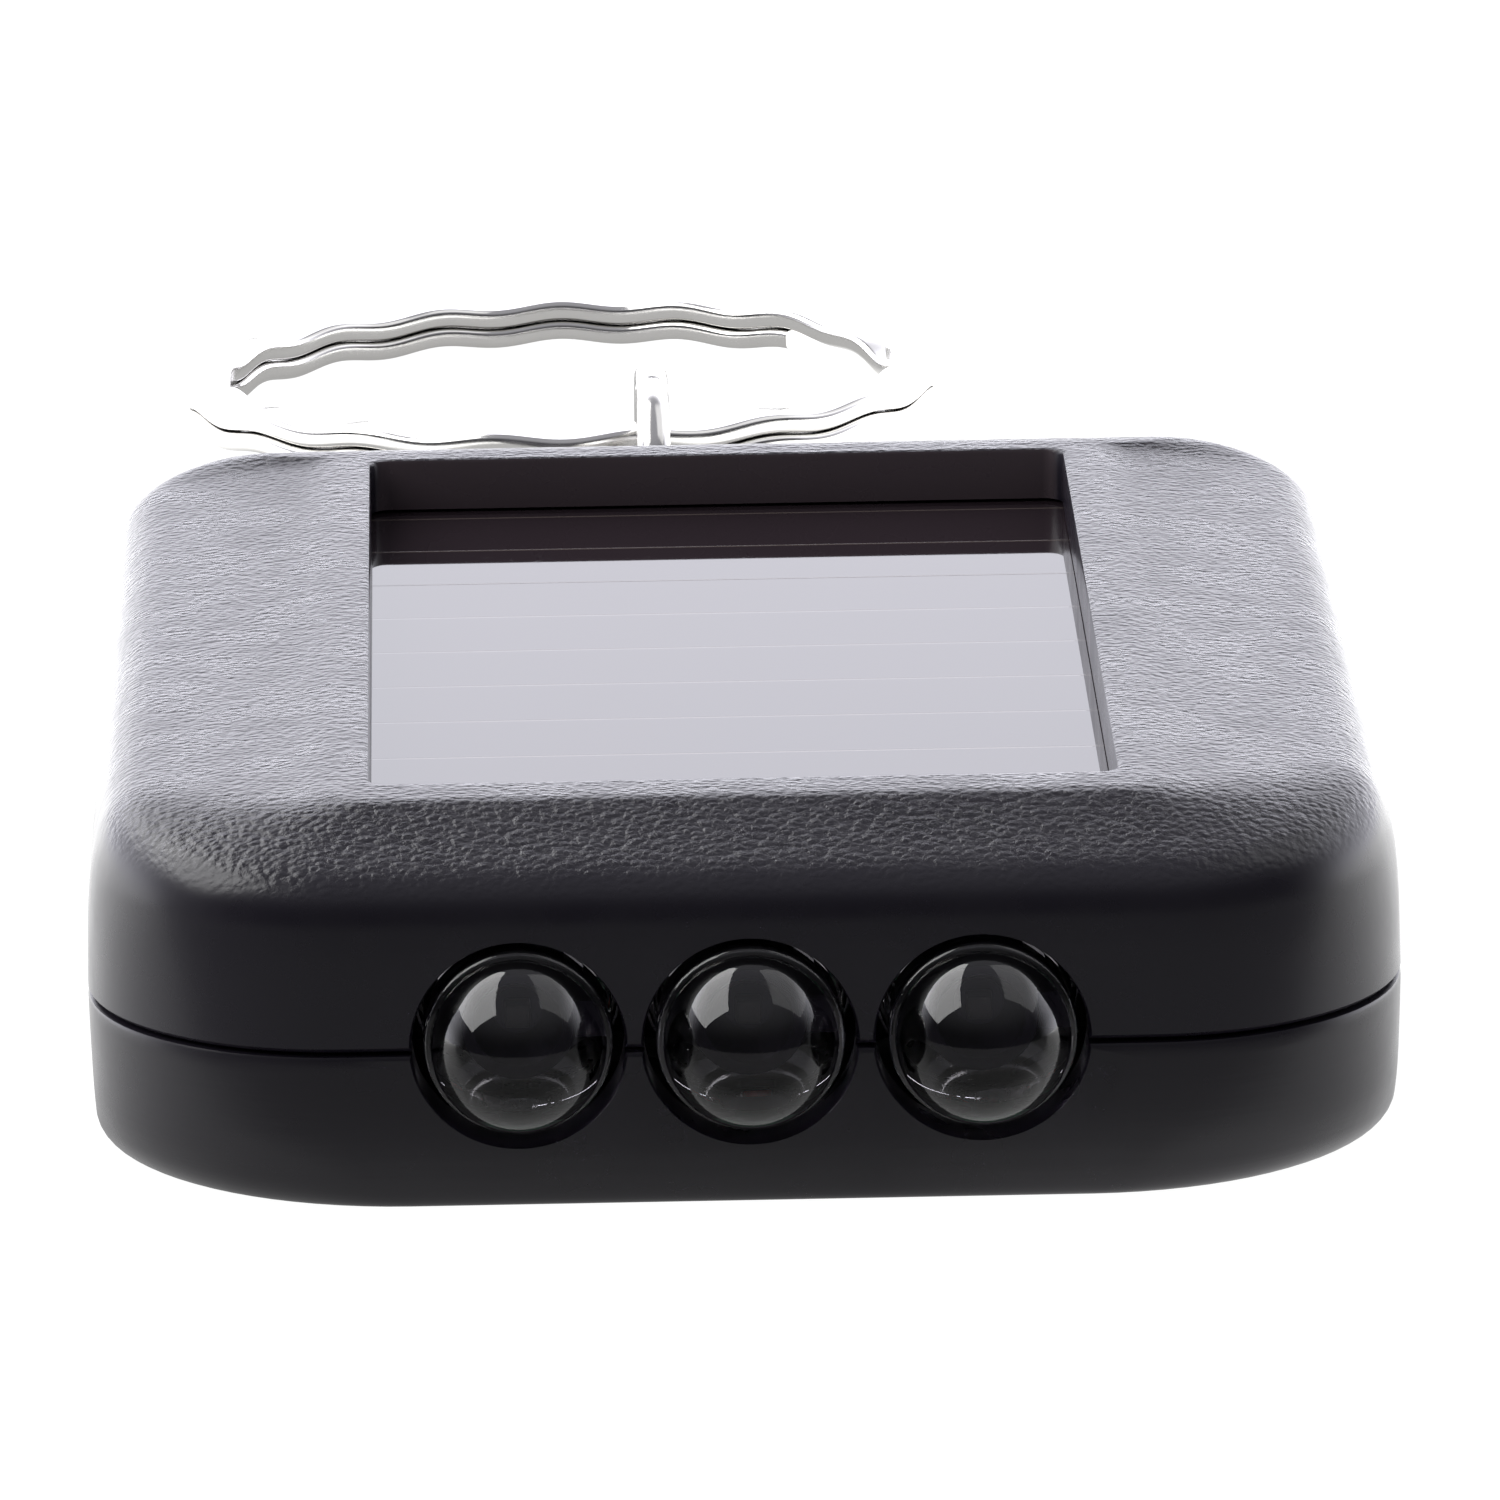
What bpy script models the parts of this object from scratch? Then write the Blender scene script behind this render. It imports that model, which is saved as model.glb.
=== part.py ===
"""Solar key-ring torch: a two-shell case with three round LEDs, a solar window and a key chain.

+Z is up, the LEDs look along -Y, and the origin is the middle of the flat underside.
Sizes below are in millimetres and are turned into metres by MM where a shape is made.
"""
import math

import bmesh
import bpy
from mathutils import Matrix, Vector

MM = 0.001
GAP = 0.3                     # clearance kept between neighbouring solids

# Case
CASE_WIDTH = 36.9
CASE_LENGTH = 44.0
CASE_HEIGHT = 10.9
SEAM_Z = 4.6
CORNER_RADIUS = 7.2           # front corners, seen from above
REAR_CORNER_CUT = 2.0         # how much tighter the rear corners are
WALL = 1.6
FLOOR = 1.3
HALF_X = CASE_WIDTH / 2
HALF_Y = CASE_LENGTH / 2
CORNER_STEPS = 6              # facets in each rounded corner
UNDERSIDE_INSET = 0.55        # rounding all round the underside: across and up
UNDERSIDE_RISE = 1.0
BASE_DRAFT = 0.12             # how much the lower walls lean out on their way up
BASE_CORNER_EXTRA = 1.8       # how much rounder the corners are at the underside
BASE_CORNER_TOP = 2.2         # height where that extra rounding has faded out
REAR_CORNER_FALL = 1.1        # how soon the rear edge falls from its middle towards the corners

# Outer skin of the top shell from the seam to the raised frame round the window. Each row:
# side inset, side height, front inset, front height, rear inset, rear height, corner radius
TOP_LEVELS = (
    (0.00, 4.75, 0.00, 4.75, 0.00, 4.75, 7.20),
    (0.05, 6.90, 0.05, 6.90, 0.05, 6.90, 7.15),
    (0.12, 7.90, 0.12, 7.90, 0.10, 8.30, 7.08),
    (0.20, 8.50, 0.20, 8.45, 0.15, 9.20, 7.00),
    (0.36, 9.15, 0.36, 8.93, 0.22, 9.80, 6.85),
    (0.63, 9.74, 0.63, 9.32, 0.36, 10.30, 6.60),
    (1.00, 10.17, 1.00, 9.60, 0.58, 10.62, 6.20),
    (1.55, 10.45, 1.80, 10.00, 0.86, 10.82, 5.60),
    (2.60, 10.58, 2.70, 10.46, 1.35, 10.89, 4.70),
    (5.80, 10.78, 3.30, 10.78, 1.85, 10.90, 2.00),
    (6.30, 10.83, 3.50, 10.86, 2.00, 10.90, 1.70),
    (6.90, 10.90, 3.75, 10.90, 2.15, 10.90, 1.30),
)

# Window in the top shell and the solar panel below it
WINDOW_HALF_X = 10.45
WINDOW_FRONT = -16.7
WINDOW_REAR = 19.6
WINDOW_CORNER = 0.6
CEILING_Z = 9.55              # underside of the top wall
GLASS_HALF_X = 11.6
GLASS_FRONT = -17.3
GLASS_REAR = 20.1
GLASS_THICKNESS = 1.1
CELL_PITCH = 3.85
CELL_COUNT = 9
CELL_GROOVE = 0.1             # half width and depth of the line between two cell strips
FILM_HALF_X = 10.9
FILM_THICKNESS = 0.3
FOAM_OUTER = (10.0, -15.4, 18.6, 0.8)      # half width, front, rear, corner radius
FOAM_INNER = (7.6, -13.2, 16.2, 0.8)

# Light-emitting diodes, 5 mm round
LED_PITCH = 6.42
LED_Z = 4.98
LED_RADIUS = 2.45              # dome, a little slimmer than the body behind it
LED_BODY_RADIUS = 2.62
LED_SHOULDER = 0.1
LED_DOME_CENTRE = -22.55
LED_FLANGE_RADIUS = 2.9
LED_FLANGE_FRONT = -17.3
LED_BACK = -16.3
LED_POCKET_RADIUS = 1.9
LED_POCKET_FRONT = -21.5
NOTCH_Z = 4.75                # the lamps sit high in their openings
NOTCH_RADIUS = 2.95
NOTCH_DEPTH = 3.4
LEAD_OFFSET = 1.27
LEAD_THICKNESS = 0.5
LEAD_END = -12.6
LEAD_HEAD_LENGTH = 1.8        # the wide ends of the leads, inside the lens
CATHODE_TIP = -0.35           # how far each head reaches towards the other
ANODE_TIP = 0.45

# Circuit board, switch and button
BOARD_HALF_X = 11.7
BOARD_FRONT = -15.5
BOARD_REAR = -2.0
BOARD_BOTTOM = 5.3
BOARD_TOP = 6.3
BUTTON_Y = -8.0
BUTTON_RADIUS = 4.2
BUTTON_FLANGE_RADIUS = 5.2
BUTTON_RECESS = 0.3
SWITCH_HALF = 2.25
SWITCH_BOTTOM = 3.5
PLUNGER_RADIUS = 1.0
PLUNGER_LENGTH = 1.1
NUB_RADIUS = 1.2
RESISTOR_Y = -11.6
RESISTOR_SIZE = (1.6, 0.85, 0.45)
DIODE_PLACE = (4.4, -7.0)
DIODE_SIZE = (2.7, 1.6, 0.65)

# Battery, a 20 mm coin cell
CELL_Y = 9.6
CELL_RADIUS = 10.0
CELL_BOTTOM = 2.15
CELL_TOP = 5.65
CAN_SHEET = 0.45
GASKET_THICKNESS = 0.5
TAB_THICKNESS = 0.25
TAB_HALF_X = 1.5

# Screws that hold the shells together
SCREW_X = 14.0
SCREW_FRONT_Y = -15.0
SCREW_REAR_Y = 15.9
SCREW_HEAD_RADIUS = 1.6
SCREW_SHANK_RADIUS = 0.8
SCREW_HEAD_LOW = 0.35
SCREW_HEAD_HIGH = 1.15
SCREW_TIP = 8.2
SINK_TOP = 1.45
BOSS_RADIUS = 1.9
WIRE_SLEEVE_RADIUS = 0.35

# Lug, chain and split ring behind the case
LUG_Z = 2.6
LUG_HALF_THICKNESS = 0.9
LUG_END = 26.8
LUG_HALF_WIDTH = 3.1
LUG_HOLE_RADIUS = 1.5
LUG_RIM = 1.6
WIRE = 1.2
LINK_LENGTH = 8.8
LINK_WIDTH = 5.2
LINK_COUNT = 5
LINK_YAWS = (0.0, 7.0, 7.0, 0.0, 0.0)      # degrees towards -X
RING_RADIUS = 12.75
RING_WIRE_WIDTH = 1.7
RING_COIL_HEIGHT = 0.62
RING_COIL_GAP = 0.06
RING_YAW = 13.7
RING_STEP_ANGLE = 28.0                     # where one coil crosses to the other
RING_STEP_HALF = 18.0
RING_WAVES = 17
RING_WAVE_HEIGHT = 0.12
RING_STATIONS = 272
RING_CHAMFER = 0.14

CLEAR_EPOXY = (0.86, 0.88, 0.92)
BLACK_PLASTIC = (0.012, 0.011, 0.014)
NICKEL = (0.72, 0.71, 0.69)
TINNED = (0.78, 0.78, 0.76)


def clear_objects():
    for old in list(bpy.data.objects):
        bpy.data.objects.remove(old, do_unlink=True)


def give_material(obj, colour, roughness, metallic=0.0):
    material = bpy.data.materials.new(obj.name + "_material")
    material.use_nodes = True
    shader = material.node_tree.nodes["Principled BSDF"]
    shader.inputs["Base Color"].default_value = (*colour, 1.0)
    shader.inputs["Roughness"].default_value = roughness
    shader.inputs["Metallic"].default_value = metallic
    obj.data.materials.append(material)


def object_from_bmesh(name, bm):
    bmesh.ops.recalc_face_normals(bm, faces=bm.faces)
    mesh = bpy.data.meshes.new(name)
    bm.to_mesh(mesh)
    bm.free()
    mesh.shade_smooth()
    mesh.set_sharp_from_angle(angle=math.radians(35.0))
    obj = bpy.data.objects.new(name, mesh)
    bpy.context.collection.objects.link(obj)
    return obj


def loft(name, rings, caps=True):
    """Join closed rings of equally many points (mm) into one skin, with flat caps or a closed loop."""
    bm = bmesh.new()
    loops = [[bm.verts.new(Vector(point) * MM) for point in ring] for ring in rings]
    count = len(rings[0])
    pairs = list(zip(loops, loops[1:]))
    if caps:
        bm.faces.new(loops[0])
        bm.faces.new(loops[-1])
    else:
        pairs.append((loops[-1], loops[0]))
    for lower, upper in pairs:
        for i in range(count):
            j = (i + 1) % count
            bm.faces.new((lower[i], lower[j], upper[j], upper[i]))
    return object_from_bmesh(name, bm)


def turned(name, profile, centre=(0.0, 0.0, 0.0), along="Z", steps=32):
    """Turn (radius, height) points round the Z axis, or round Y with height running along +Y."""
    bm = bmesh.new()
    rows = []
    for radius, height in profile:
        if radius == 0.0:
            rows.append([bm.verts.new((0.0, 0.0, height * MM))])
            continue
        row = []
        for i in range(steps):
            angle = 2.0 * math.pi * i / steps
            place = Vector((radius * math.cos(angle), radius * math.sin(angle), height))
            row.append(bm.verts.new(place * MM))
        rows.append(row)
    pairs = list(zip(rows, rows[1:]))
    if len(rows[0]) > 1:
        pairs.append((rows[-1], rows[0]))
    for first, second in pairs:
        for i in range(steps):
            j = (i + 1) % steps
            corners = [first[i % len(first)], first[j % len(first)]]
            corners += [second[j % len(second)], second[i % len(second)]]
            bm.faces.new(list(dict.fromkeys(corners)))
    if along == "Y":
        bmesh.ops.rotate(bm, verts=bm.verts, matrix=Matrix.Rotation(math.radians(-90.0), 3, "X"))
    obj = object_from_bmesh(name, bm)
    obj.location = Vector(centre) * MM
    return obj


def plate(name, outline, low, high, axis="Z"):
    """Extrude an outline (mm) between two levels along Z, or along X for an outline in Y and Z."""
    if axis == "Z":
        rings = [[(x, y, level) for x, y in outline] for level in (low, high)]
    else:
        rings = [[(level, y, z) for y, z in outline] for level in (low, high)]
    return loft(name, rings)


def soften(obj, width=0.12, segments=2):
    bevel = obj.modifiers.new("Edges", "BEVEL")
    bevel.width = width * MM
    bevel.segments = segments
    bevel.limit_method = "ANGLE"
    bevel.angle_limit = math.radians(40.0)


def combine(obj, other, operation):
    """Boolean with another object, which then only stays as a hidden guide."""
    step = obj.modifiers.new(operation.title() + "_" + other.name, "BOOLEAN")
    step.operation = operation
    step.object = other
    other.hide_render = True
    other.display_type = "WIRE"


def rounded_outline(half_x, front, rear, radius, steps=CORNER_STEPS, rear_radius=None):
    """Corner points of a rounded rectangle, each with how far it faces +-Y (0 side, 1 end)."""
    points = []
    front_radius = radius
    corners = ((1, -1, -90.0), (1, 1, 0.0), (-1, 1, 90.0), (-1, -1, 180.0))
    for side, end, start in corners:
        radius = rear_radius if end > 0 and rear_radius is not None else front_radius
        centre_x = side * (half_x - radius)
        centre_y = (rear - radius) if end > 0 else (front + radius)
        for i in range(steps + 1):
            angle = math.radians(start + 90.0 * i / steps)
            facing = math.sin(angle) ** 2
            if end > 0:
                facing = facing ** REAR_CORNER_FALL
            x = centre_x + radius * math.cos(angle)
            y = centre_y + radius * math.sin(angle)
            points.append((x, y, facing, end))
    return points


def case_ring(side, front, rear, radius):
    """One level of the case: (inset, height) at the sides, the front and the rear, blended at corners."""
    rear_radius = max(radius - REAR_CORNER_CUT, WINDOW_CORNER)
    outline = rounded_outline(HALF_X - side[0], -HALF_Y + front[0], HALF_Y - rear[0], radius,
                              rear_radius=rear_radius)
    ring = []
    for x, y, facing, end in outline:
        end_height = rear[1] if end > 0 else front[1]
        ring.append((x, y, side[1] * (1.0 - facing) + end_height * facing))
    return ring


def even_ring(inset, height):
    return case_ring((inset, height), (inset, height), (inset, height), CORNER_RADIUS - inset)


def base_ring(inset, height):
    """A level of the bottom shell's outside, with rounder corners towards the underside."""
    fade = max(1.0 - height / BASE_CORNER_TOP, 0.0)
    radius = CORNER_RADIUS - inset + BASE_CORNER_EXTRA * fade ** 2
    return case_ring((inset, height), (inset, height), (inset, height), radius)


def box_ring(half_x, front, rear, radius, height):
    return [(x, y, height) for x, y, _, _ in rounded_outline(half_x, front, rear, radius)]


def screw_places():
    return [(sx * SCREW_X, y) for sx in (-1, 1) for y in (SCREW_FRONT_Y, SCREW_REAR_Y)]


def cylinder(name, radius, low, high, centre=(0.0, 0.0), steps=24):
    profile = [(0.0, low), (radius, low), (radius, high), (0.0, high)]
    return turned(name, profile, (centre[0], centre[1], 0.0), steps=steps)


def cut_notches(shell):
    for i, x in enumerate((-LED_PITCH, 0.0, LED_PITCH)):
        profile = [(0.0, -NOTCH_DEPTH), (NOTCH_RADIUS, -NOTCH_DEPTH), (NOTCH_RADIUS, NOTCH_DEPTH),
                   (0.0, NOTCH_DEPTH)]
        name = "cut_notch_" + shell.name + "_" + str(i)
        notch = turned(name, profile, (x, -HALF_Y, NOTCH_Z), along="Y", steps=28)
        combine(shell, notch, "DIFFERENCE")


def make_top_shell():
    bottom = SEAM_Z + GAP / 2
    flat = CASE_HEIGHT
    rings = [case_ring((s, sz), (f, fz), (r, rz), corner) for s, sz, f, fz, r, rz, corner in TOP_LEVELS]
    rings += [
        box_ring(WINDOW_HALF_X, WINDOW_FRONT, WINDOW_REAR, WINDOW_CORNER, flat),
        box_ring(WINDOW_HALF_X, WINDOW_FRONT, WINDOW_REAR, WINDOW_CORNER, CEILING_Z),
        box_ring(HALF_X - 3.6, -HALF_Y + 3.2, HALF_Y - WALL, 3.2, CEILING_Z),
        box_ring(HALF_X - 2.2, -HALF_Y + WALL + 0.3, HALF_Y - WALL, 5.0, 8.2),
        box_ring(HALF_X - WALL, -HALF_Y + WALL, HALF_Y - WALL, CORNER_RADIUS - WALL, bottom),
    ]
    shell = loft("top_shell", rings, caps=False)
    for i, (x, y) in enumerate(screw_places()):
        boss = cylinder("add_top_boss_" + str(i), BOSS_RADIUS, bottom + 0.15, CEILING_Z + 0.2, (x, y))
        combine(shell, boss, "UNION")
        hole_top = SCREW_TIP + GAP
        hole = cylinder("cut_top_boss_" + str(i), SCREW_SHANK_RADIUS + GAP, bottom - 1.0, hole_top, (x, y), 16)
        combine(shell, hole, "DIFFERENCE")
    cut_notches(shell)
    give_material(shell, BLACK_PLASTIC, 0.42)
    return shell


def lug_outline():
    """Tab behind the bottom shell: parallel sides and a half-round end."""
    centre = LUG_END - LUG_HALF_WIDTH
    points = [(LUG_HALF_WIDTH, HALF_Y - 0.8)]
    for i in range(13):
        angle = math.pi * i / 12
        points.append((LUG_HALF_WIDTH * math.cos(angle), centre + LUG_HALF_WIDTH * math.sin(angle)))
    points.append((-LUG_HALF_WIDTH, HALF_Y - 0.8))
    return points


def make_bottom_shell():
    top = SEAM_Z - GAP / 2
    rings = []
    for i in range(5):
        angle = math.radians(90.0 * i / 4)
        inset = BASE_DRAFT + UNDERSIDE_INSET * (1.0 - math.sin(angle))
        rings.append(base_ring(inset, UNDERSIDE_RISE * (1.0 - math.cos(angle))))
    rings.append(base_ring(BASE_DRAFT * 0.6, BASE_CORNER_TOP))
    rings.append(even_ring(0.0, top))
    rings.append(even_ring(WALL, top))
    rings.append(even_ring(WALL + 0.2, 2.0))
    rings.append(even_ring(WALL + 0.9, FLOOR))
    shell = loft("bottom_shell", rings)

    lug = plate("add_lug", lug_outline(), LUG_Z - LUG_HALF_THICKNESS, LUG_Z + LUG_HALF_THICKNESS)
    combine(shell, lug, "UNION")
    hole_y = LUG_END - LUG_RIM - LUG_HOLE_RADIUS
    reach = 2 * LUG_HALF_THICKNESS
    hole = cylinder("cut_lug_hole", LUG_HOLE_RADIUS, LUG_Z - reach, LUG_Z + reach, (0.0, hole_y))
    combine(shell, hole, "DIFFERENCE")

    for i, (x, y) in enumerate(screw_places()):
        boss = cylinder("add_bottom_boss_" + str(i), BOSS_RADIUS + 0.5, FLOOR - 0.3, top - 0.15, (x, y))
        combine(shell, boss, "UNION")
        hole_radius = SCREW_SHANK_RADIUS + GAP
        hole = cylinder("cut_bottom_boss_" + str(i), hole_radius, SINK_TOP / 2, top + 1.0, (x, y), 16)
        combine(shell, hole, "DIFFERENCE")
        sink = cylinder("cut_screw_sink_" + str(i), SCREW_HEAD_RADIUS + GAP, -1.0, SINK_TOP, (x, y), 20)
        combine(shell, sink, "DIFFERENCE")
    cut_notches(shell)
    opening = cylinder("cut_button_opening", BUTTON_RADIUS + GAP, -1.0, FLOOR + 1.0, (0.0, BUTTON_Y), 32)
    combine(shell, opening, "DIFFERENCE")
    give_material(shell, BLACK_PLASTIC, 0.35)
    return shell


def make_solar_panel():
    glass_top = CEILING_Z - GAP
    glass_bottom = glass_top - GLASS_THICKNESS
    outline = [(x, y) for x, y, _, _ in rounded_outline(GLASS_HALF_X, GLASS_FRONT, GLASS_REAR, 0.5, 2)]
    glass = plate("solar_glass", outline, glass_bottom, glass_top)
    give_material(glass, (0.03, 0.028, 0.032), 0.05)

    film_top = glass_bottom - GAP
    film_bottom = film_top - FILM_THICKNESS
    start = (WINDOW_FRONT + WINDOW_REAR) / 2 - CELL_PITCH * CELL_COUNT / 2
    section = [(start, film_bottom), (start, film_top)]
    for i in range(1, CELL_COUNT):
        y = start + CELL_PITCH * i
        section += [(y - CELL_GROOVE, film_top), (y - CELL_GROOVE, film_top - CELL_GROOVE)]
        section += [(y + CELL_GROOVE, film_top - CELL_GROOVE), (y + CELL_GROOVE, film_top)]
    end = start + CELL_PITCH * CELL_COUNT
    section += [(end, film_top), (end, film_bottom)]
    film = plate("solar_cell_film", section, -FILM_HALF_X, FILM_HALF_X, axis="X")
    give_material(film, (0.035, 0.02, 0.025), 0.3)

    foam_top = film_bottom - GAP
    foam_bottom = BOARD_TOP + GAP
    foam = loft("panel_foam_frame", [
        box_ring(*FOAM_OUTER, foam_bottom),
        box_ring(*FOAM_OUTER, foam_top),
        box_ring(*FOAM_INNER, foam_top),
        box_ring(*FOAM_INNER, foam_bottom),
    ], caps=False)
    give_material(foam, (0.05, 0.05, 0.05), 0.9)


def lens_profile():
    profile = [(0.0, LED_DOME_CENTRE - LED_RADIUS)]
    for i in range(1, 7):
        angle = math.radians(90.0 * i / 6)
        profile.append((LED_RADIUS * math.sin(angle), LED_DOME_CENTRE - LED_RADIUS * math.cos(angle)))
    profile += [(LED_BODY_RADIUS, LED_DOME_CENTRE + LED_SHOULDER), (LED_BODY_RADIUS, LED_FLANGE_FRONT)]
    profile += [(LED_FLANGE_RADIUS, LED_FLANGE_FRONT)]
    profile += [(LED_FLANGE_RADIUS, LED_BACK), (LED_POCKET_RADIUS, LED_BACK)]
    profile += [(LED_POCKET_RADIUS, LED_POCKET_FRONT), (0.0, LED_POCKET_FRONT)]
    return profile


def make_led(name, x):
    lens = turned("led_lens_" + name, lens_profile(), (x, 0.0, LED_Z), along="Y", steps=24)
    give_material(lens, CLEAR_EPOXY, 0.03)
    outer = LEAD_OFFSET + LEAD_THICKNESS / 2
    inner = LEAD_OFFSET - LEAD_THICKNESS / 2
    head_front = LED_POCKET_FRONT + GAP
    head_back = head_front + LEAD_HEAD_LENGTH
    # The cathode carries the reflector cup; the anode ends in a narrow flag beside it.
    for lead, side, tip in (("cathode", -1, CATHODE_TIP), ("anode", 1, ANODE_TIP)):
        outline = [(side * outer, LEAD_END), (side * inner, LEAD_END), (side * inner, head_back)]
        outline += [(tip, head_back - LEAD_THICKNESS), (tip, head_front), (side * outer, head_front)]
        shifted = [(x + px, py) for px, py in outline]
        half = LEAD_THICKNESS / 2
        obj = plate("led_" + lead + "_" + name, shifted, LED_Z - half, LED_Z + half)
        give_material(obj, TINNED, 0.25, 1.0)


def make_board():
    outline = [(x, y) for x, y, _, _ in rounded_outline(BOARD_HALF_X, BOARD_FRONT, BOARD_REAR, 0.8, 3)]
    board = plate("circuit_board", outline, BOARD_BOTTOM, BOARD_TOP)
    give_material(board, (0.02, 0.16, 0.06), 0.45)
    part_bottom = BOARD_TOP + GAP
    for name, x in (("left", -LED_PITCH), ("centre", 0.0), ("right", LED_PITCH)):
        width, depth, height = RESISTOR_SIZE
        outline = rectangle(x, RESISTOR_Y, width, depth)
        chip = plate("led_resistor_" + name, outline, part_bottom, part_bottom + height)
        soften(chip, 0.05, 1)
        give_material(chip, (0.02, 0.02, 0.02), 0.4)
    width, depth, height = DIODE_SIZE
    diode = plate("charge_diode", rectangle(*DIODE_PLACE, width, depth), part_bottom, part_bottom + height)
    soften(diode, 0.1, 1)
    give_material(diode, (0.015, 0.015, 0.015), 0.35)


def rectangle(x, y, width, depth):
    half_w = width / 2
    half_d = depth / 2
    return [(x + half_w, y - half_d), (x + half_w, y + half_d), (x - half_w, y + half_d), (x - half_w, y - half_d)]


def make_switch_and_button():
    switch_top = BOARD_BOTTOM - GAP
    size = 2 * SWITCH_HALF
    body = plate("switch_body", rectangle(0.0, BUTTON_Y, size, size), SWITCH_BOTTOM, switch_top)
    middle = (0.0, BUTTON_Y)
    bore_radius = PLUNGER_RADIUS + GAP
    bore = cylinder("cut_switch_bore", bore_radius, SWITCH_BOTTOM - 1.0, switch_top - 0.4, middle)
    combine(body, bore, "DIFFERENCE")
    give_material(body, (0.03, 0.03, 0.03), 0.5)

    plunger_low = SWITCH_BOTTOM - 0.6
    plunger_high = plunger_low + PLUNGER_LENGTH
    plunger = cylinder("switch_plunger", PLUNGER_RADIUS, plunger_low, plunger_high, middle, 20)
    give_material(plunger, (0.6, 0.08, 0.05), 0.45)

    # Cap: a shallow dish under the floor, a flange above it and a nub that reaches the plunger.
    flange_low = FLOOR + GAP
    profile = [
        (0.0, BUTTON_RECESS + 0.25), (2.4, BUTTON_RECESS + 0.12), (3.7, BUTTON_RECESS),
        (BUTTON_RADIUS - 0.15, BUTTON_RECESS + 0.05), (BUTTON_RADIUS, BUTTON_RECESS + 0.25),
        (BUTTON_RADIUS, flange_low), (BUTTON_FLANGE_RADIUS, flange_low),
        (BUTTON_FLANGE_RADIUS, flange_low + 0.5), (NUB_RADIUS, flange_low + 0.5),
        (NUB_RADIUS, plunger_low - GAP), (0.0, plunger_low - GAP),
    ]
    cap = turned("button_cap", profile, (0.0, BUTTON_Y, 0.0), steps=32)
    give_material(cap, (0.02, 0.02, 0.022), 0.5)


def make_battery():
    centre = (0.0, CELL_Y, 0.0)
    can_low = CELL_BOTTOM + GAP
    inner = CELL_RADIUS - CAN_SHEET
    can = turned("battery_can", [
        (0.0, CELL_TOP), (CELL_RADIUS - 0.4, CELL_TOP), (CELL_RADIUS, CELL_TOP - 0.4), (CELL_RADIUS, can_low),
        (inner, can_low), (inner, CELL_TOP - CAN_SHEET), (0.0, CELL_TOP - CAN_SHEET),
    ], centre)
    give_material(can, (0.62, 0.61, 0.60), 0.25, 1.0)
    gasket_out = inner - GAP
    gasket_in = gasket_out - GASKET_THICKNESS
    gasket_top = CELL_TOP - CAN_SHEET - GAP
    gasket = turned("battery_gasket", [
        (gasket_out, can_low), (gasket_out, gasket_top), (gasket_in, gasket_top), (gasket_in, can_low),
    ], centre)
    give_material(gasket, (0.04, 0.04, 0.045), 0.6)
    cap_radius = gasket_in - GAP
    cap = turned("battery_cap", [
        (0.0, CELL_BOTTOM), (cap_radius - 0.3, CELL_BOTTOM), (cap_radius, CELL_BOTTOM + 0.3),
        (cap_radius, gasket_top), (0.0, gasket_top),
    ], centre)
    give_material(cap, (0.66, 0.65, 0.63), 0.3, 1.0)


def bent_strip(name, path):
    """A flat strip TAB_THICKNESS high whose lower side follows (y, z) points, rising steps upright."""
    lower = list(path)
    upper = []
    for i, (y, z) in enumerate(path):
        before = path[max(i - 1, 0)]
        after = path[min(i + 1, len(path) - 1)]
        tangent = Vector((after[0] - before[0], after[1] - before[1])).normalized()
        upper.append((y + tangent[1] * TAB_THICKNESS, z - tangent[0] * TAB_THICKNESS))
    strip = plate(name, lower + upper[::-1], -TAB_HALF_X, TAB_HALF_X, axis="X")
    give_material(strip, NICKEL, 0.3, 1.0)
    return strip


def make_battery_tabs():
    level = CELL_TOP + GAP
    step = BOARD_TOP + GAP
    bent_strip("battery_tab_positive", [(12.0, level), (0.2, level), (-1.2, step), (-4.2, step)])
    low = FLOOR + GAP
    high = BOARD_BOTTOM - GAP - TAB_THICKNESS
    bent_strip("battery_tab_negative", [(12.0, low), (-0.6, low), (-1.1, low + 0.5), (-1.1, high - 0.4),
                                        (-1.6, high), (-4.2, high)])


def make_wire(name, side, colour):
    route = [
        (10.7, 12.0, 6.9), (11.1, 11.9, 6.85), (11.8, 11.5, 6.6), (12.6, 10.5, 5.9), (13.1, 8.6, 5.1),
        (13.3, 6.0, 4.6), (13.3, 3.4, 4.5), (13.1, 1.2, 4.8), (13.0, -0.4, 5.6), (12.7, -1.6, 6.4),
        (12.2, -2.8, 6.9), (11.6, -4.0, 6.97), (10.9, -5.0, 6.97),
    ]
    curve = bpy.data.curves.new(name, "CURVE")
    curve.dimensions = "3D"
    curve.bevel_depth = WIRE_SLEEVE_RADIUS * MM
    curve.bevel_resolution = 2
    curve.use_fill_caps = True
    points = smooth_route(route, 2)
    spline = curve.splines.new("POLY")
    spline.points.add(len(points) - 1)
    for place, (x, y, z) in zip(spline.points, points):
        place.co = (side * x * MM, y * MM, z * MM, 1.0)
    wire = bpy.data.objects.new(name, curve)
    bpy.context.collection.objects.link(wire)
    give_material(wire, colour, 0.45)


def smooth_route(route, parts):
    """Points on a Catmull-Rom curve through the route, parts to each stretch."""
    points = [Vector(p) for p in route]
    padded = [2 * points[0] - points[1]] + points + [2 * points[-1] - points[-2]]
    smooth = []
    for a, b, c, d in zip(padded, padded[1:], padded[2:], padded[3:]):
        for i in range(parts):
            t = i / parts
            smooth.append(0.5 * (2 * b + (c - a) * t + (2 * a - 5 * b + 4 * c - d) * t * t
                                 + (3 * b - 3 * c + d - a) * t ** 3))
    smooth.append(points[-1])
    return smooth


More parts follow.
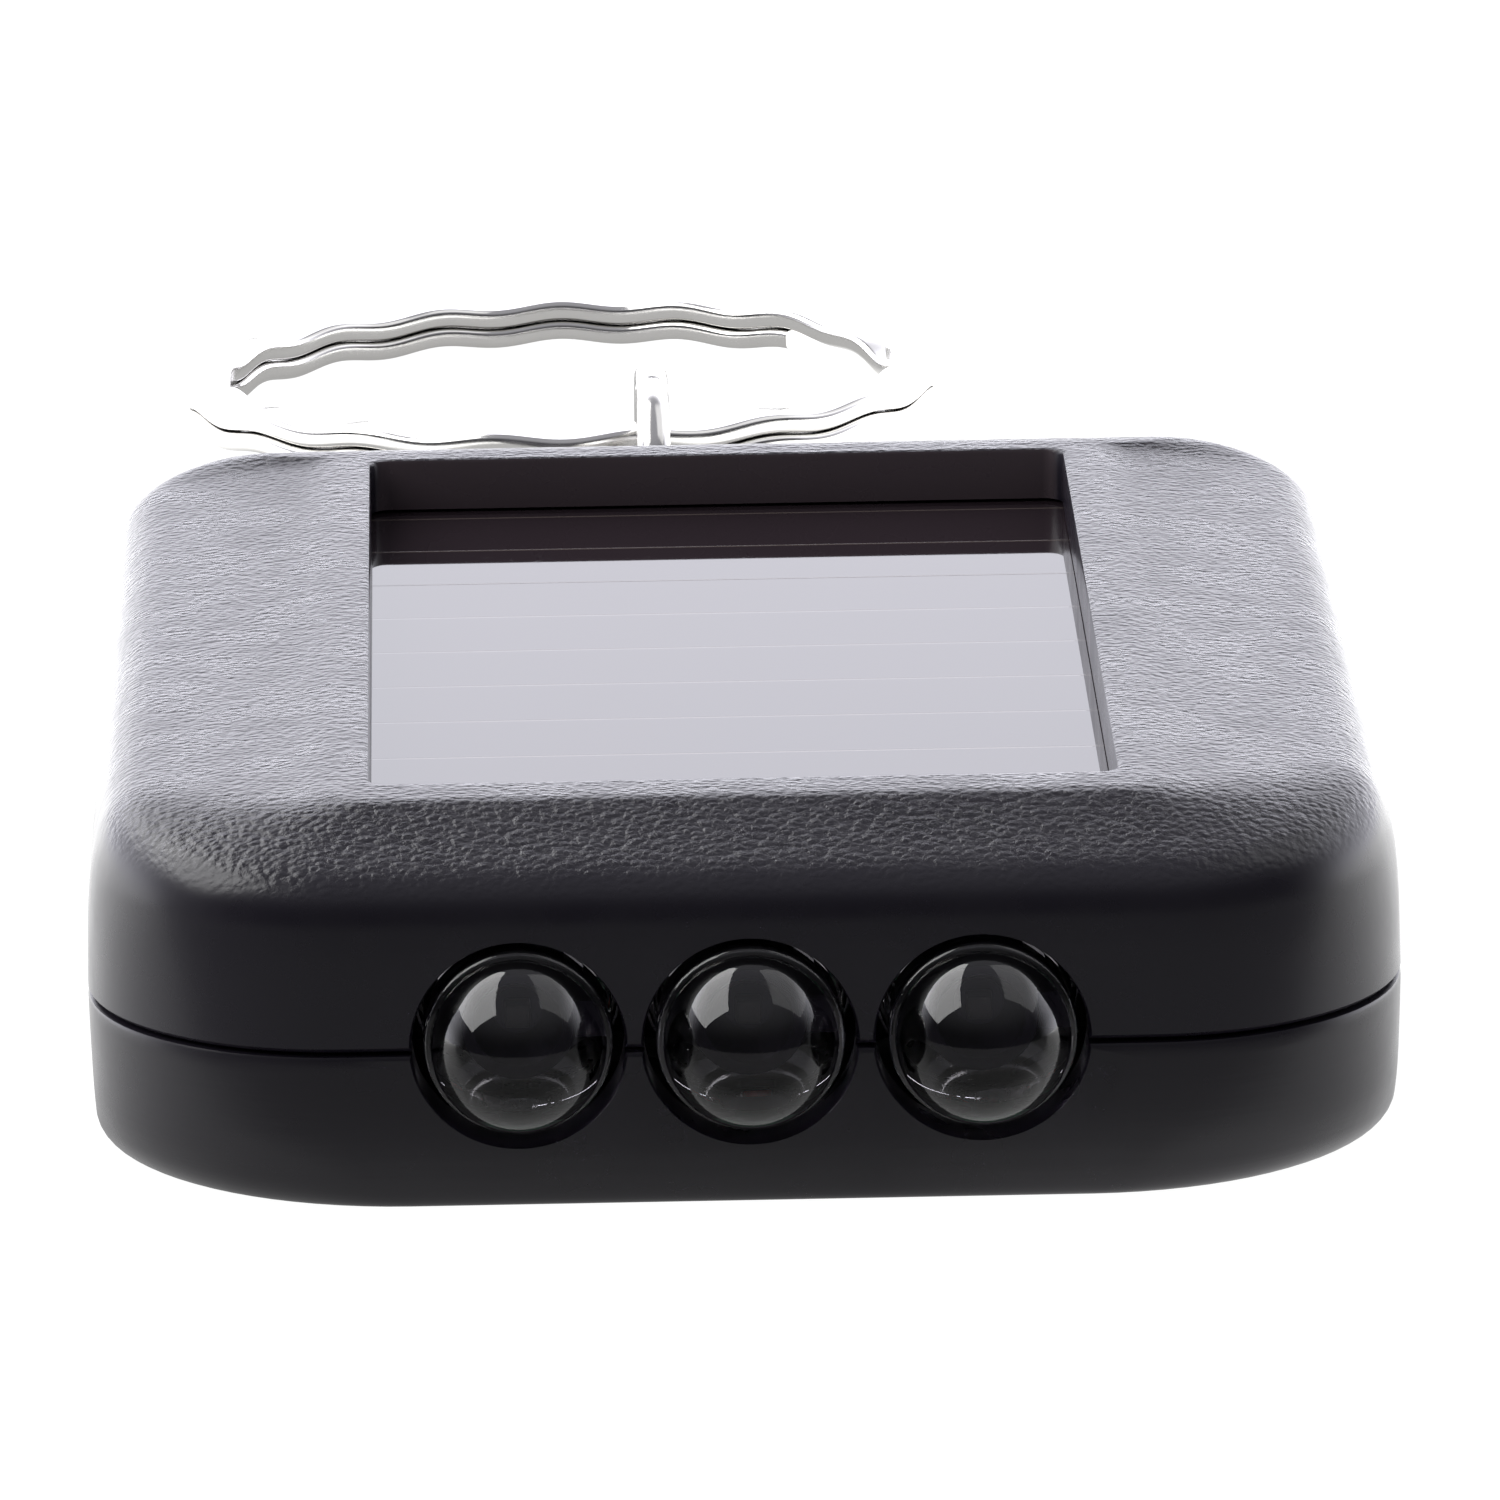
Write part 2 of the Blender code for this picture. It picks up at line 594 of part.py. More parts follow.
def make_screws():
    """Four identical pan-head screws, driven up from the underside."""
    head_edge = SCREW_HEAD_LOW + 0.3
    profile = [(0.0, head_edge), (0.45, head_edge), (0.45, SCREW_HEAD_LOW), (1.2, SCREW_HEAD_LOW),
               (SCREW_HEAD_RADIUS, head_edge), (SCREW_HEAD_RADIUS, SCREW_HEAD_HIGH),
               (SCREW_SHANK_RADIUS, SCREW_HEAD_HIGH), (SCREW_SHANK_RADIUS, SCREW_TIP - 0.6),
               (0.0, SCREW_TIP)]
    names = ("case_screw_left_front", "case_screw_left_rear", "case_screw_right_front", "case_screw_right_rear")
    for name, (x, y) in zip(names, screw_places()):
        screw = turned(name, profile, (x, y, 0.0), steps=12)
        give_material(screw, (0.55, 0.54, 0.52), 0.3, 1.0)


def swept(centres, frames, section):
    """Rings of a flat section carried along centres; frames give the section's two directions."""
    rings = []
    for centre, (u, v) in zip(centres, frames):
        rings.append([tuple(centre + u * a + v * b) for a, b in section])
    return rings


def link_rings():
    """A stadium of round wire in the XY plane, its middle at the origin and its length along Y."""
    bend = (LINK_WIDTH - WIRE) / 2
    straight = (LINK_LENGTH - LINK_WIDTH) / 2
    section = []
    for i in range(8):
        angle = math.pi * i / 4
        section.append((WIRE / 2 * math.cos(angle), WIRE / 2 * math.sin(angle)))
    centres = []
    frames = []
    for end, start in ((1, 0.0), (-1, 180.0)):
        for i in range(9):
            angle = math.radians(start + 180.0 * i / 8)
            outward = Vector((math.cos(angle), math.sin(angle), 0.0))
            centres.append(Vector((0.0, end * straight, 0.0)) + outward * bend)
            frames.append((outward, Vector((0.0, 0.0, 1.0))))
    return swept(centres, frames, section)


def link_places():
    """Front pivot, direction and plane of every link: upright and flat links alternate."""
    overlap = WIRE + GAP
    span = LINK_LENGTH - WIRE
    places = []
    pivot = Vector((0.0, LUG_END - LUG_RIM - GAP - WIRE / 2, LUG_Z))
    for i, yaw in enumerate(LINK_YAWS):
        direction = Vector((-math.sin(math.radians(yaw)), math.cos(math.radians(yaw)), 0.0))
        middle = pivot + direction * span / 2
        places.append((middle, yaw, i % 2 == 0))
        pivot = pivot + direction * (span - overlap)
    return places


def make_chain():
    for i, (middle, yaw, upright) in enumerate(link_places()):
        link = loft("chain_link_" + str(i + 1), link_rings(), caps=False)
        turn = Matrix.Rotation(math.radians(yaw), 4, "Z")
        if upright:
            turn = turn @ Matrix.Rotation(math.radians(90.0), 4, "Y")
        link.matrix_world = Matrix.Translation(middle * MM) @ turn
        give_material(link, NICKEL, 0.22, 1.0)


def ring_rings():
    """Two slightly wavy flat coils of one strip, joined by a short step, in the ring's own plane."""
    radius = RING_RADIUS - RING_WIRE_WIDTH / 2
    half_w = RING_WIRE_WIDTH / 2
    half_h = RING_COIL_HEIGHT / 2
    flat_w = half_w - RING_CHAMFER
    flat_h = half_h - RING_CHAMFER
    section = [(flat_w, -half_h), (half_w, -flat_h), (half_w, flat_h), (flat_w, half_h),
               (-flat_w, half_h), (-half_w, flat_h), (-half_w, -flat_h), (-flat_w, -half_h)]
    offset = (RING_COIL_HEIGHT + RING_COIL_GAP) / 2
    first = RING_STEP_HALF
    last = 720.0 - RING_STEP_HALF
    rings = []
    for i in range(RING_STATIONS + 1):
        travel = first + (last - first) * i / RING_STATIONS
        climb = min(max((travel - (360.0 - RING_STEP_HALF)) / (2 * RING_STEP_HALF), 0.0), 1.0)
        climb = climb * climb * (3.0 - 2.0 * climb)
        angle = math.radians(travel + RING_STEP_ANGLE)
        outward = Vector((math.cos(angle), math.sin(angle), 0.0))
        height = offset * (2.0 * climb - 1.0) + RING_WAVE_HEIGHT * math.sin(RING_WAVES * angle)
        centre = outward * radius + Vector((0.0, 0.0, height))
        rings.append([tuple(centre + outward * a + Vector((0.0, 0.0, b))) for a, b in section])
    return rings


def ring_placement():
    """The ring hangs in the last link at its near side and rests on the ground at its far side."""
    middle, yaw, _ = link_places()[-1]
    direction = Vector((-math.sin(math.radians(yaw)), math.cos(math.radians(yaw)), 0.0))
    last_bend = middle + direction * (LINK_LENGTH - WIRE) / 2
    centre_radius = RING_RADIUS - RING_WIRE_WIDTH / 2
    contact = last_bend - direction * (WIRE / 2 + GAP + RING_WIRE_WIDTH / 2)
    half_height = RING_COIL_HEIGHT + RING_COIL_GAP / 2 + RING_WAVE_HEIGHT
    near_z = WIRE + GAP + half_height
    tilt = math.asin((near_z - half_height) / (RING_RADIUS + centre_radius))
    heading = math.radians(RING_YAW)
    away = Vector((-math.sin(heading), math.cos(heading), 0.0))
    centre = contact + away * centre_radius * math.cos(tilt)
    centre.z = RING_RADIUS * math.sin(tilt) + half_height * math.cos(tilt)
    turn = Matrix.Rotation(heading, 4, "Z") @ Matrix.Rotation(-tilt, 4, "X")
    spin = Matrix.Rotation(-heading, 4, "Z")
    return Matrix.Translation(centre * MM) @ turn @ spin


def make_split_ring():
    ring = loft("split_ring", ring_rings())
    ring.matrix_world = ring_placement()
    give_material(ring, NICKEL, 0.18, 1.0)


def main():
    clear_objects()
    make_top_shell()
    make_bottom_shell()
    make_solar_panel()
    for name, x in (("left", -LED_PITCH), ("centre", 0.0), ("right", LED_PITCH)):
        make_led(name, x)
    make_board()
    make_switch_and_button()
    make_battery()
    make_battery_tabs()
    make_wire("panel_wire_red", 1.0, (0.6, 0.03, 0.02))
    make_wire("panel_wire_black", -1.0, (0.02, 0.02, 0.02))
    make_screws()
    make_chain()
    make_split_ring()


main()
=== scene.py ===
"""Looks of the solar key-ring torch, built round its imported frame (metres, +Z up, LEDs towards -Y)."""
import math

import bmesh
import bpy
from mathutils import Matrix, Vector


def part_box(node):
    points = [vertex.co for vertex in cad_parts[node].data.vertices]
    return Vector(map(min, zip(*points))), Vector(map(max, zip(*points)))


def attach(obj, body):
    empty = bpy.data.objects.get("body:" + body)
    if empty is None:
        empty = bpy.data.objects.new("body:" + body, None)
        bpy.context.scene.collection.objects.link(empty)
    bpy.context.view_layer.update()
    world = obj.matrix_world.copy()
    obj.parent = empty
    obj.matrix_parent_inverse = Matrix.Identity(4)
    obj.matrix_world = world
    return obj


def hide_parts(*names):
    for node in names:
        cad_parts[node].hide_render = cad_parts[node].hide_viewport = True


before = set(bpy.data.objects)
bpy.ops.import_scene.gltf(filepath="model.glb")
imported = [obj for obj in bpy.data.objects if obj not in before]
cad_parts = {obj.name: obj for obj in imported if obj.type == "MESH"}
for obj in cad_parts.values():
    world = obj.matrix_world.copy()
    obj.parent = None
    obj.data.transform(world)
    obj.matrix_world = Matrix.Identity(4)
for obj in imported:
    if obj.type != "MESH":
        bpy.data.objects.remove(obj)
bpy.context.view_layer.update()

MM = 0.001

# ---------------------------------------------------------------- sizes (mm, and degrees for angles)
shell_low, shell_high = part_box("top_shell")
base_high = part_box("bottom_shell")[1]
CASE_HALF_X = shell_high.x / MM
CASE_HALF_Y = shell_high.y / MM
CASE_TOP = shell_high.z / MM
SEAM_Z = (shell_low.z + base_high.z) / 2 / MM
SEAM_GAP = 0.11
CORNER_RADIUS = 7.2
WALL = 1.6
FLOOR = 1.3
UNDERSIDE_INSET = 0.55
UNDERSIDE_RISE = 1.0
DRAFT = 0.12
CORNER_STEPS = 20
REAR_CORNER_FALL = 1.1        # power that shapes how the rear corners drop from end to side
REAR_CORNER_CUT = 2.0         # the rear corners of the top shell are this much tighter
BASE_CORNER_EXTRA = 1.8       # extra corner radius at the underside, fading out at BASE_CORNER_TOP
BASE_CORNER_TOP = 2.2

# Outer skin of the top shell from the seam to the raised frame round the window. Each row:
# side inset, side height, front inset, front height, rear inset, rear height, corner radius
TOP_LEVELS = (
    (0.00, 4.75, 0.00, 4.75, 0.00, 4.75, 7.20),
    (0.05, 6.90, 0.05, 6.90, 0.05, 6.90, 7.15),
    (0.12, 7.90, 0.12, 7.90, 0.10, 8.30, 7.08),
    (0.20, 8.50, 0.20, 8.45, 0.15, 9.20, 7.00),
    (0.36, 9.15, 0.36, 8.93, 0.22, 9.80, 6.85),
    (0.63, 9.74, 0.63, 9.32, 0.36, 10.30, 6.60),
    (1.00, 10.17, 1.00, 9.60, 0.58, 10.62, 6.20),
    (1.55, 10.45, 1.80, 10.00, 0.86, 10.82, 5.60),
    (2.60, 10.58, 2.70, 10.46, 1.35, 10.89, 4.70),
    (5.80, 10.78, 3.30, 10.78, 1.85, 10.90, 2.00),
    (6.30, 10.83, 3.50, 10.86, 2.00, 10.90, 1.70),
    (6.90, 10.90, 3.75, 10.90, 2.15, 10.90, 1.30),
)

glass_low, glass_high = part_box("solar_glass")
WINDOW_HALF_X = 10.45
WINDOW_FRONT = -16.7
WINDOW_REAR = 19.6
WINDOW_CORNER = 0.6
CEILING_Z = glass_high.z / MM + 0.1
CELL_PITCH = 3.85
FILM_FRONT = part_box("solar_cell_film")[0].y / MM

LED_NAMES = ("left", "centre", "right")
LED_RADIUS = 2.45
LED_BODY_RADIUS = 2.62
LED_FLANGE_RADIUS = 2.9
LED_FLANGE_DEPTH = 1.0
LED_LIFT = 0.23               # the lamps sit above the middle of their openings
NOTCH_RADIUS = 2.95
NOTCH_DEPTH = 3.4
NOTCH_REACH = 4.0             # the cutter's length in front of the case

LUG_REAR = base_high.y / MM
LUG_Z = 2.6
LUG_HALF_THICKNESS = 0.9
LUG_HALF_WIDTH = 3.1
LUG_EDGE = 0.25
LUG_HOLE_RADIUS = 1.5
LUG_HOLE_FLARE = 0.55
LUG_RIM = 1.6

BUTTON_RADIUS = 4.2
BUTTON_FLANGE_RADIUS = 5.2
BUTTON_STEM_RADIUS = 1.2
BUTTON_DISH_RADIUS = 3.55
BUTTON_DISH_DEPTH = 0.30
BUTTON_OPENING_RADIUS = 4.5

SCREW_HEAD_RADIUS = 1.6
SCREW_HEAD_HEIGHT = 0.8
SCREW_SINK_RADIUS = 1.9
SCREW_CORE_RADIUS = 0.62
SCREW_THREAD_RADIUS = 0.8
SCREW_PITCH = 0.62
SCREW_POINT = 0.6             # the plain end of the shank

LINK_WIDTH = 5.2
LINK_LENGTH = 8.8
LINK_WIRE_RADIUS = 0.6        # sets the bend; the wire is drawn thinner, to clear the ring
LINK_DRAWN_RADIUS = 0.54
LINK_YAWS = (0.0, 7.0, 7.0, 0.0, 0.0)

RING_RADIUS = 12.747
RING_STRIP_WIDTH = 1.7
COIL_HEIGHT = 0.62
COIL_GAP = 0.06
COIL_EDGE = 0.18
RING_STEP_ANGLE = 28.0
RING_STEP_HALF = 18.0
RING_YAW = 13.7
RING_WAVES = 17
RING_WAVE_HEIGHT = 0.10

# Colour sockets of a Mix node
MIX_FIRST = 6
MIX_SECOND = 7
MIX_RESULT = 2


def led_axis(name):
    """Middle x, front, middle z and back of one lens."""
    low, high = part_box("led_lens_" + name)
    return (low.x + high.x) / 2 / MM, low.y / MM, (low.z + high.z) / 2 / MM, high.y / MM


# ---------------------------------------------------------------- mesh helpers

def new_object(name, bm, sharp=35.0):
    bmesh.ops.recalc_face_normals(bm, faces=bm.faces)
    mesh = bpy.data.meshes.new(name)
    bm.to_mesh(mesh)
    bm.free()
    mesh.shade_smooth()
    mesh.set_sharp_from_angle(angle=math.radians(sharp))
    obj = bpy.data.objects.new(name, mesh)
    bpy.context.collection.objects.link(obj)
    return obj


def loft(name, rings, caps=True, sharp=35.0):
    """Join closed rings of equally many points (mm) into one skin, with flat caps or as a closed loop."""
    bm = bmesh.new()
    loops = [[bm.verts.new(Vector(point) * MM) for point in ring] for ring in rings]
    count = len(rings[0])
    pairs = list(zip(loops, loops[1:]))
    if caps:
        bm.faces.new(loops[0])
        bm.faces.new(loops[-1])
    else:
        pairs.append((loops[-1], loops[0]))
    for lower, upper in pairs:
        for i in range(count):
            j = (i + 1) % count
            bm.faces.new((lower[i], lower[j], upper[j], upper[i]))
    return new_object(name, bm, sharp)


def turned(name, profile, centre=(0.0, 0.0, 0.0), along="Z", steps=96):
    """Turn (radius, height) points round Z, or round Y with height running along +Y."""
    bm = bmesh.new()
    rows = []
    for radius, height in profile:
        count = steps if radius > 0.0 else 1
        row = []
        for i in range(count):
            angle = 2.0 * math.pi * i / steps
            point = (radius * math.cos(angle) * MM, radius * math.sin(angle) * MM, height * MM)
            row.append(bm.verts.new(point))
        rows.append(row)
    pairs = list(zip(rows, rows[1:]))
    if len(rows[0]) > 1:
        pairs.append((rows[-1], rows[0]))
    for first, second in pairs:
        for i in range(steps):
            j = (i + 1) % steps
            corners = [first[i % len(first)], first[j % len(first)],
                       second[j % len(second)], second[i % len(second)]]
            bm.faces.new(list(dict.fromkeys(corners)))
    if along == "Y":
        bmesh.ops.rotate(bm, verts=bm.verts, matrix=Matrix.Rotation(math.radians(-90.0), 3, "X"))
    bmesh.ops.translate(bm, verts=bm.verts, vec=Vector(centre) * MM)
    return new_object(name, bm)


def boolean(obj, other, operation):
    """Apply a Boolean with another object at once and throw the other away."""
    step = obj.modifiers.new(operation, "BOOLEAN")
    step.operation = operation
    step.object = other
    step.solver = "EXACT"
    bpy.context.view_layer.update()
    result = bpy.data.meshes.new_from_object(obj.evaluated_get(bpy.context.evaluated_depsgraph_get()))
    obj.modifiers.clear()
    obj.data = result
    bpy.data.objects.remove(other, do_unlink=True)


def soften(obj, width):
    bevel = obj.modifiers.new("edges", "BEVEL")
    bevel.width = width * MM
    bevel.segments = 2
    bevel.limit_method = "ANGLE"
    bevel.angle_limit = math.radians(35.0)
    bevel.harden_normals = True


def reshade(obj, sharp):
    obj.data.shade_smooth()
    obj.data.set_sharp_from_angle(angle=math.radians(sharp))


# ---------------------------------------------------------------- case surface

def rounded_outline(half_x, front, rear, front_radius, rear_radius=None):
    """Corner points of a rounded rectangle: x, y, how far each faces +-Y, and which end it is at."""
    points = []
    corners = ((1, -1, -90.0), (1, 1, 0.0), (-1, 1, 90.0), (-1, -1, 180.0))
    for side, end, start in corners:
        radius = rear_radius if end > 0 and rear_radius is not None else front_radius
        centre_x = side * (half_x - radius)
        centre_y = (rear - radius) if end > 0 else (front + radius)
        for i in range(CORNER_STEPS + 1):
            angle = math.radians(start + 90.0 * i / CORNER_STEPS)
            facing = math.sin(angle) ** 2
            if end > 0:
                facing = facing ** REAR_CORNER_FALL
            x = centre_x + radius * math.cos(angle)
            y = centre_y + radius * math.sin(angle)
            points.append((x, y, facing, end))
    return points


def case_ring(side, front, rear, radius):
    """One level of the case: (inset, height) at the sides, the front and the rear, blended at corners."""
    rear_radius = max(radius - REAR_CORNER_CUT, WINDOW_CORNER)
    outline = rounded_outline(CASE_HALF_X - side[0], -CASE_HALF_Y + front[0], CASE_HALF_Y - rear[0],
                              radius, rear_radius)
    ring = []
    for x, y, facing, end in outline:
        end_height = rear[1] if end > 0 else front[1]
        ring.append((x, y, side[1] * (1.0 - facing) + end_height * facing))
    return ring


def even_ring(inset, height):
    """A level with the same inset and height all round."""
    return case_ring((inset, height), (inset, height), (inset, height), CORNER_RADIUS - inset)


def base_ring(inset, height):
    """A level of the bottom shell's outside, with rounder corners towards the underside."""
    fade = max(1.0 - height / BASE_CORNER_TOP, 0.0)
    radius = CORNER_RADIUS - inset + BASE_CORNER_EXTRA * fade ** 2
    return case_ring((inset, height), (inset, height), (inset, height), radius)


def box_ring(half_x, front, rear, radius, height):
    """A flat rounded rectangle."""
    return [(x, y, height) for x, y, _, _ in rounded_outline(half_x, front, rear, radius)]


def blend_levels(levels, parts):
    """Rows between the given rows of numbers, on a smooth curve through them."""
    padded = [levels[0]] + list(levels) + [levels[-1]]
    rows = []
    for a, b, c, d in zip(padded, padded[1:], padded[2:], padded[3:]):
        for i in range(parts):
            t = i / parts
            rows.append([0.5 * (2 * q + (r - p) * t + (2 * p - 5 * q + 4 * r - s) * t * t
                                + (3 * q - 3 * r + s - p) * t ** 3) for p, q, r, s in zip(a, b, c, d)])
    rows.append(list(levels[-1]))
    return rows


def cut_notches(shell):
    """Openings for the lamps, with the outer edge slightly flared."""
    for name in LED_NAMES:
        x, _, z, _ = led_axis(name)
        profile = [(0.0, -NOTCH_REACH), (NOTCH_RADIUS + NOTCH_REACH, -NOTCH_REACH),
                   (NOTCH_RADIUS + 0.10, -0.02), (NOTCH_RADIUS + 0.03, 0.06), (NOTCH_RADIUS, 0.16),
                   (NOTCH_RADIUS, NOTCH_DEPTH), (0.0, NOTCH_DEPTH)]
        notch = turned("notch", profile, (x, -CASE_HALF_Y, z - LED_LIFT), "Y")
        boolean(shell, notch, "DIFFERENCE")


def make_top_shell():
    """One closed loop of levels: up the outside, over the frame, down the window and the inside."""
    bottom = SEAM_Z + SEAM_GAP / 2
    flat = CASE_TOP
    seam = bottom + 0.12
    levels = [(0.0, seam) * 3 + (CORNER_RADIUS,)] + list(TOP_LEVELS[1:])
    rings = [even_ring(0.12, bottom)]
    for s, sz, f, fz, r, rz, corner in blend_levels(levels, 4):
        rings.append(case_ring((s, min(sz, flat)), (f, min(fz, flat)), (r, min(rz, flat)), corner))
    rings += [
        box_ring(WINDOW_HALF_X + 0.25, WINDOW_FRONT - 0.25, WINDOW_REAR + 0.12, WINDOW_CORNER, flat),
        box_ring(WINDOW_HALF_X + 0.12, WINDOW_FRONT - 0.12, WINDOW_REAR + 0.10, WINDOW_CORNER, flat),
        box_ring(WINDOW_HALF_X + 0.03, WINDOW_FRONT - 0.03, WINDOW_REAR + 0.03, WINDOW_CORNER, flat - 0.035),
        box_ring(WINDOW_HALF_X, WINDOW_FRONT, WINDOW_REAR, WINDOW_CORNER, flat - 0.12),
        box_ring(WINDOW_HALF_X, WINDOW_FRONT, WINDOW_REAR, WINDOW_CORNER, CEILING_Z),
        box_ring(CASE_HALF_X - 3.6, -CASE_HALF_Y + 3.2, CASE_HALF_Y - WALL, 3.2, CEILING_Z),
        box_ring(CASE_HALF_X - 2.2, -CASE_HALF_Y + WALL + 0.3, CASE_HALF_Y - WALL, 5.0, 8.2),
        box_ring(CASE_HALF_X - WALL, -CASE_HALF_Y + WALL, CASE_HALF_Y - WALL, CORNER_RADIUS - WALL, bottom),
    ]
    shell = loft("top_shell_moulding", rings, caps=False, sharp=40.0)
    cut_notches(shell)
    reshade(shell, 40.0)
    return shell


def lug_outline(half_width):
    """Outline of the cord lug, with a half-round end; its root runs into the rear wall."""
    centre = LUG_REAR - LUG_HALF_WIDTH
    points = [(half_width + 0.6, CASE_HALF_Y - 0.8), (half_width, CASE_HALF_Y + 0.35)]
    for i in range(33):
        angle = math.pi * i / 32
        points.append((half_width * math.cos(angle), centre + half_width * math.sin(angle)))
    points += [(-half_width, CASE_HALF_Y + 0.35), (-half_width - 0.6, CASE_HALF_Y - 0.8)]
    return points


def screw_places():
    """Node, x, y and the lowest height of each case screw."""
    places = []
    for node in sorted(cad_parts):
        if node.startswith("case_screw"):
            low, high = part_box(node)
            places.append((node, (low.x + high.x) / 2 / MM, (low.y + high.y) / 2 / MM, low.z / MM))
    return places


def button_axis():
    low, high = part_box("button_cap")
    return (low.x + high.x) / 2 / MM, (low.y + high.y) / 2 / MM


def add_lug(shell):
    low = LUG_Z - LUG_HALF_THICKNESS
    high = LUG_Z + LUG_HALF_THICKNESS
    levels = ((low, LUG_EDGE), (low + 0.08, 0.08), (low + LUG_EDGE, 0.0),
              (high - LUG_EDGE, 0.0), (high - 0.08, 0.08), (high, LUG_EDGE))
    rings = [[(x, y, height) for x, y in lug_outline(LUG_HALF_WIDTH - inset)] for height, inset in levels]
    boolean(shell, loft("lug", rings), "UNION")
    reach = LUG_HALF_THICKNESS + 0.3
    wide = LUG_HOLE_RADIUS + LUG_HOLE_FLARE
    hole = turned("lug_hole", [
        (0.0, -reach), (wide, -reach), (LUG_HOLE_RADIUS + 0.12, -0.72), (LUG_HOLE_RADIUS, -0.5),
        (LUG_HOLE_RADIUS, 0.5), (LUG_HOLE_RADIUS + 0.12, 0.72), (wide, reach), (0.0, reach),
    ], (0.0, LUG_REAR - LUG_RIM - LUG_HOLE_RADIUS, LUG_Z), steps=64)
    boolean(shell, hole, "DIFFERENCE")


def cut_underside(shell):
    """Sinks for the screw heads and the opening for the button."""
    sink_profile = [(0.0, -1.0), (SCREW_SINK_RADIUS + 0.4, -1.0), (SCREW_SINK_RADIUS + 0.15, 0.0),
                    (SCREW_SINK_RADIUS, 0.15), (SCREW_SINK_RADIUS, 1.0), (0.0, 1.0)]
    for _, x, y, _ in screw_places():
        boolean(shell, turned("sink", sink_profile, (x, y, 0.0), steps=48), "DIFFERENCE")
    x, y = button_axis()
    opening = turned("opening", [
        (0.0, -1.0), (BUTTON_OPENING_RADIUS + 0.45, -1.0), (BUTTON_OPENING_RADIUS + 0.25, 0.0),
        (BUTTON_OPENING_RADIUS, 0.22), (BUTTON_OPENING_RADIUS, 2.3), (0.0, 2.3),
    ], (x, y, 0.0))
    boolean(shell, opening, "DIFFERENCE")


def make_bottom_shell():
    """Levels up the outside and down the inside to the floor, then the lug and the openings."""
    top = SEAM_Z - SEAM_GAP / 2
    rings = [base_ring(DRAFT + UNDERSIDE_INSET + 0.3, 0.0)]
    for i in range(13):
        angle = math.radians(90.0 * i / 12)
        inset = DRAFT + UNDERSIDE_INSET * (1.0 - math.sin(angle))
        rings.append(base_ring(inset, UNDERSIDE_RISE * (1.0 - math.cos(angle))))
    for i in range(1, 9):
        height = UNDERSIDE_RISE + (top - 0.12 - UNDERSIDE_RISE) * i / 8
        rings.append(base_ring(DRAFT * (1.0 - i / 8) ** 1.3, height))
    rings += [even_ring(0.04, top - 0.03), even_ring(0.14, top), even_ring(WALL, top),
              even_ring(WALL + 0.2, 2.0), even_ring(WALL + 0.9, FLOOR)]
    shell = loft("bottom_shell_moulding", rings, sharp=40.0)
    add_lug(shell)
    cut_underside(shell)
    cut_notches(shell)
    reshade(shell, 40.0)
    return shell


# ---------------------------------------------------------------- lamps

def make_lens(name):
    """A domed lens with a small shoulder where the dome ends, a straight body and a rear flange."""
    x, front, z, back = led_axis(name)
    dome_centre = front + LED_RADIUS
    flange = back - LED_FLANGE_DEPTH
    flange_inner = LED_FLANGE_RADIUS - 0.08
    profile = [(0.0, front)]
    steps = 28
    for i in range(1, steps + 1):
        angle = math.radians(90.0 * i / steps)
        profile.append((LED_RADIUS * math.sin(angle), dome_centre - LED_RADIUS * math.cos(angle)))
    for out, along in ((0.02, 0.01), (0.09, 0.03), (0.14, 0.08), (0.165, 0.16), (0.17, 0.28)):
        profile.append((LED_RADIUS + out, dome_centre + along))
    profile += [(LED_BODY_RADIUS, flange - 0.1), (LED_BODY_RADIUS + 0.06, flange), (flange_inner, flange),
                (LED_FLANGE_RADIUS, flange + 0.08), (LED_FLANGE_RADIUS, back - 0.08), (flange_inner, back),
                (0.0, back)]
    return turned("led_" + name + "_epoxy", profile, (x, 0.0, z), "Y")


def box_between(bm, low, high):
    for vert in bmesh.ops.create_cube(bm, size=1.0)["verts"]:
        vert.co = Vector([(l + (v + 0.5) * (h - l)) * MM for v, l, h in zip(vert.co, low, high)])


def make_lead_frame(name):
    """Cathode post with its round reflector cup, and the anode post, as one mesh."""
    x, front, z, back = led_axis(name)
    half = 0.25
    bm = bmesh.new()
    cup_front = front + 3.5
    cup_back = front + 4.6
    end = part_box("led_cathode_" + name)[1].y / MM
    rows = []
    profile = [(0.30, cup_front + 0.45), (0.62, cup_front), (0.78, cup_front), (0.78, cup_back),
               (0.0, cup_back)]
    steps = 40
    centre = bm.verts.new((0.0, (cup_front + 0.45) * MM, 0.0))
    for radius, height in profile:
        count = steps if radius > 0.0 else 1
        rows.append([bm.verts.new((radius * math.cos(2 * math.pi * i / steps) * MM, height * MM,
                                   radius * math.sin(2 * math.pi * i / steps) * MM)) for i in range(count)])
    for i in range(steps):
        bm.faces.new((centre, rows[0][i], rows[0][(i + 1) % steps]))
    for first, second in zip(rows, rows[1:]):
        for i in range(steps):
            j = (i + 1) % steps
            corners = [first[i % len(first)], first[j % len(first)],
                       second[j % len(second)], second[i % len(second)]]
            bm.faces.new(list(dict.fromkeys(corners)))
    box_between(bm, (-1.3, cup_back - 0.02, -half), (0.45, cup_back + 1.0, half))
    box_between(bm, (-1.52, cup_back + 0.9, -half), (-1.02, end, half))
    box_between(bm, (1.02, cup_back + 0.9, -half), (1.52, end, half))
    box_between(bm, (0.72, cup_front + 0.1, -half), (1.30, cup_back + 1.0, half))
    bmesh.ops.translate(bm, verts=bm.verts, vec=Vector((x, 0.0, z)) * MM)
    return new_object("led_" + name + "_lead_frame", bm)


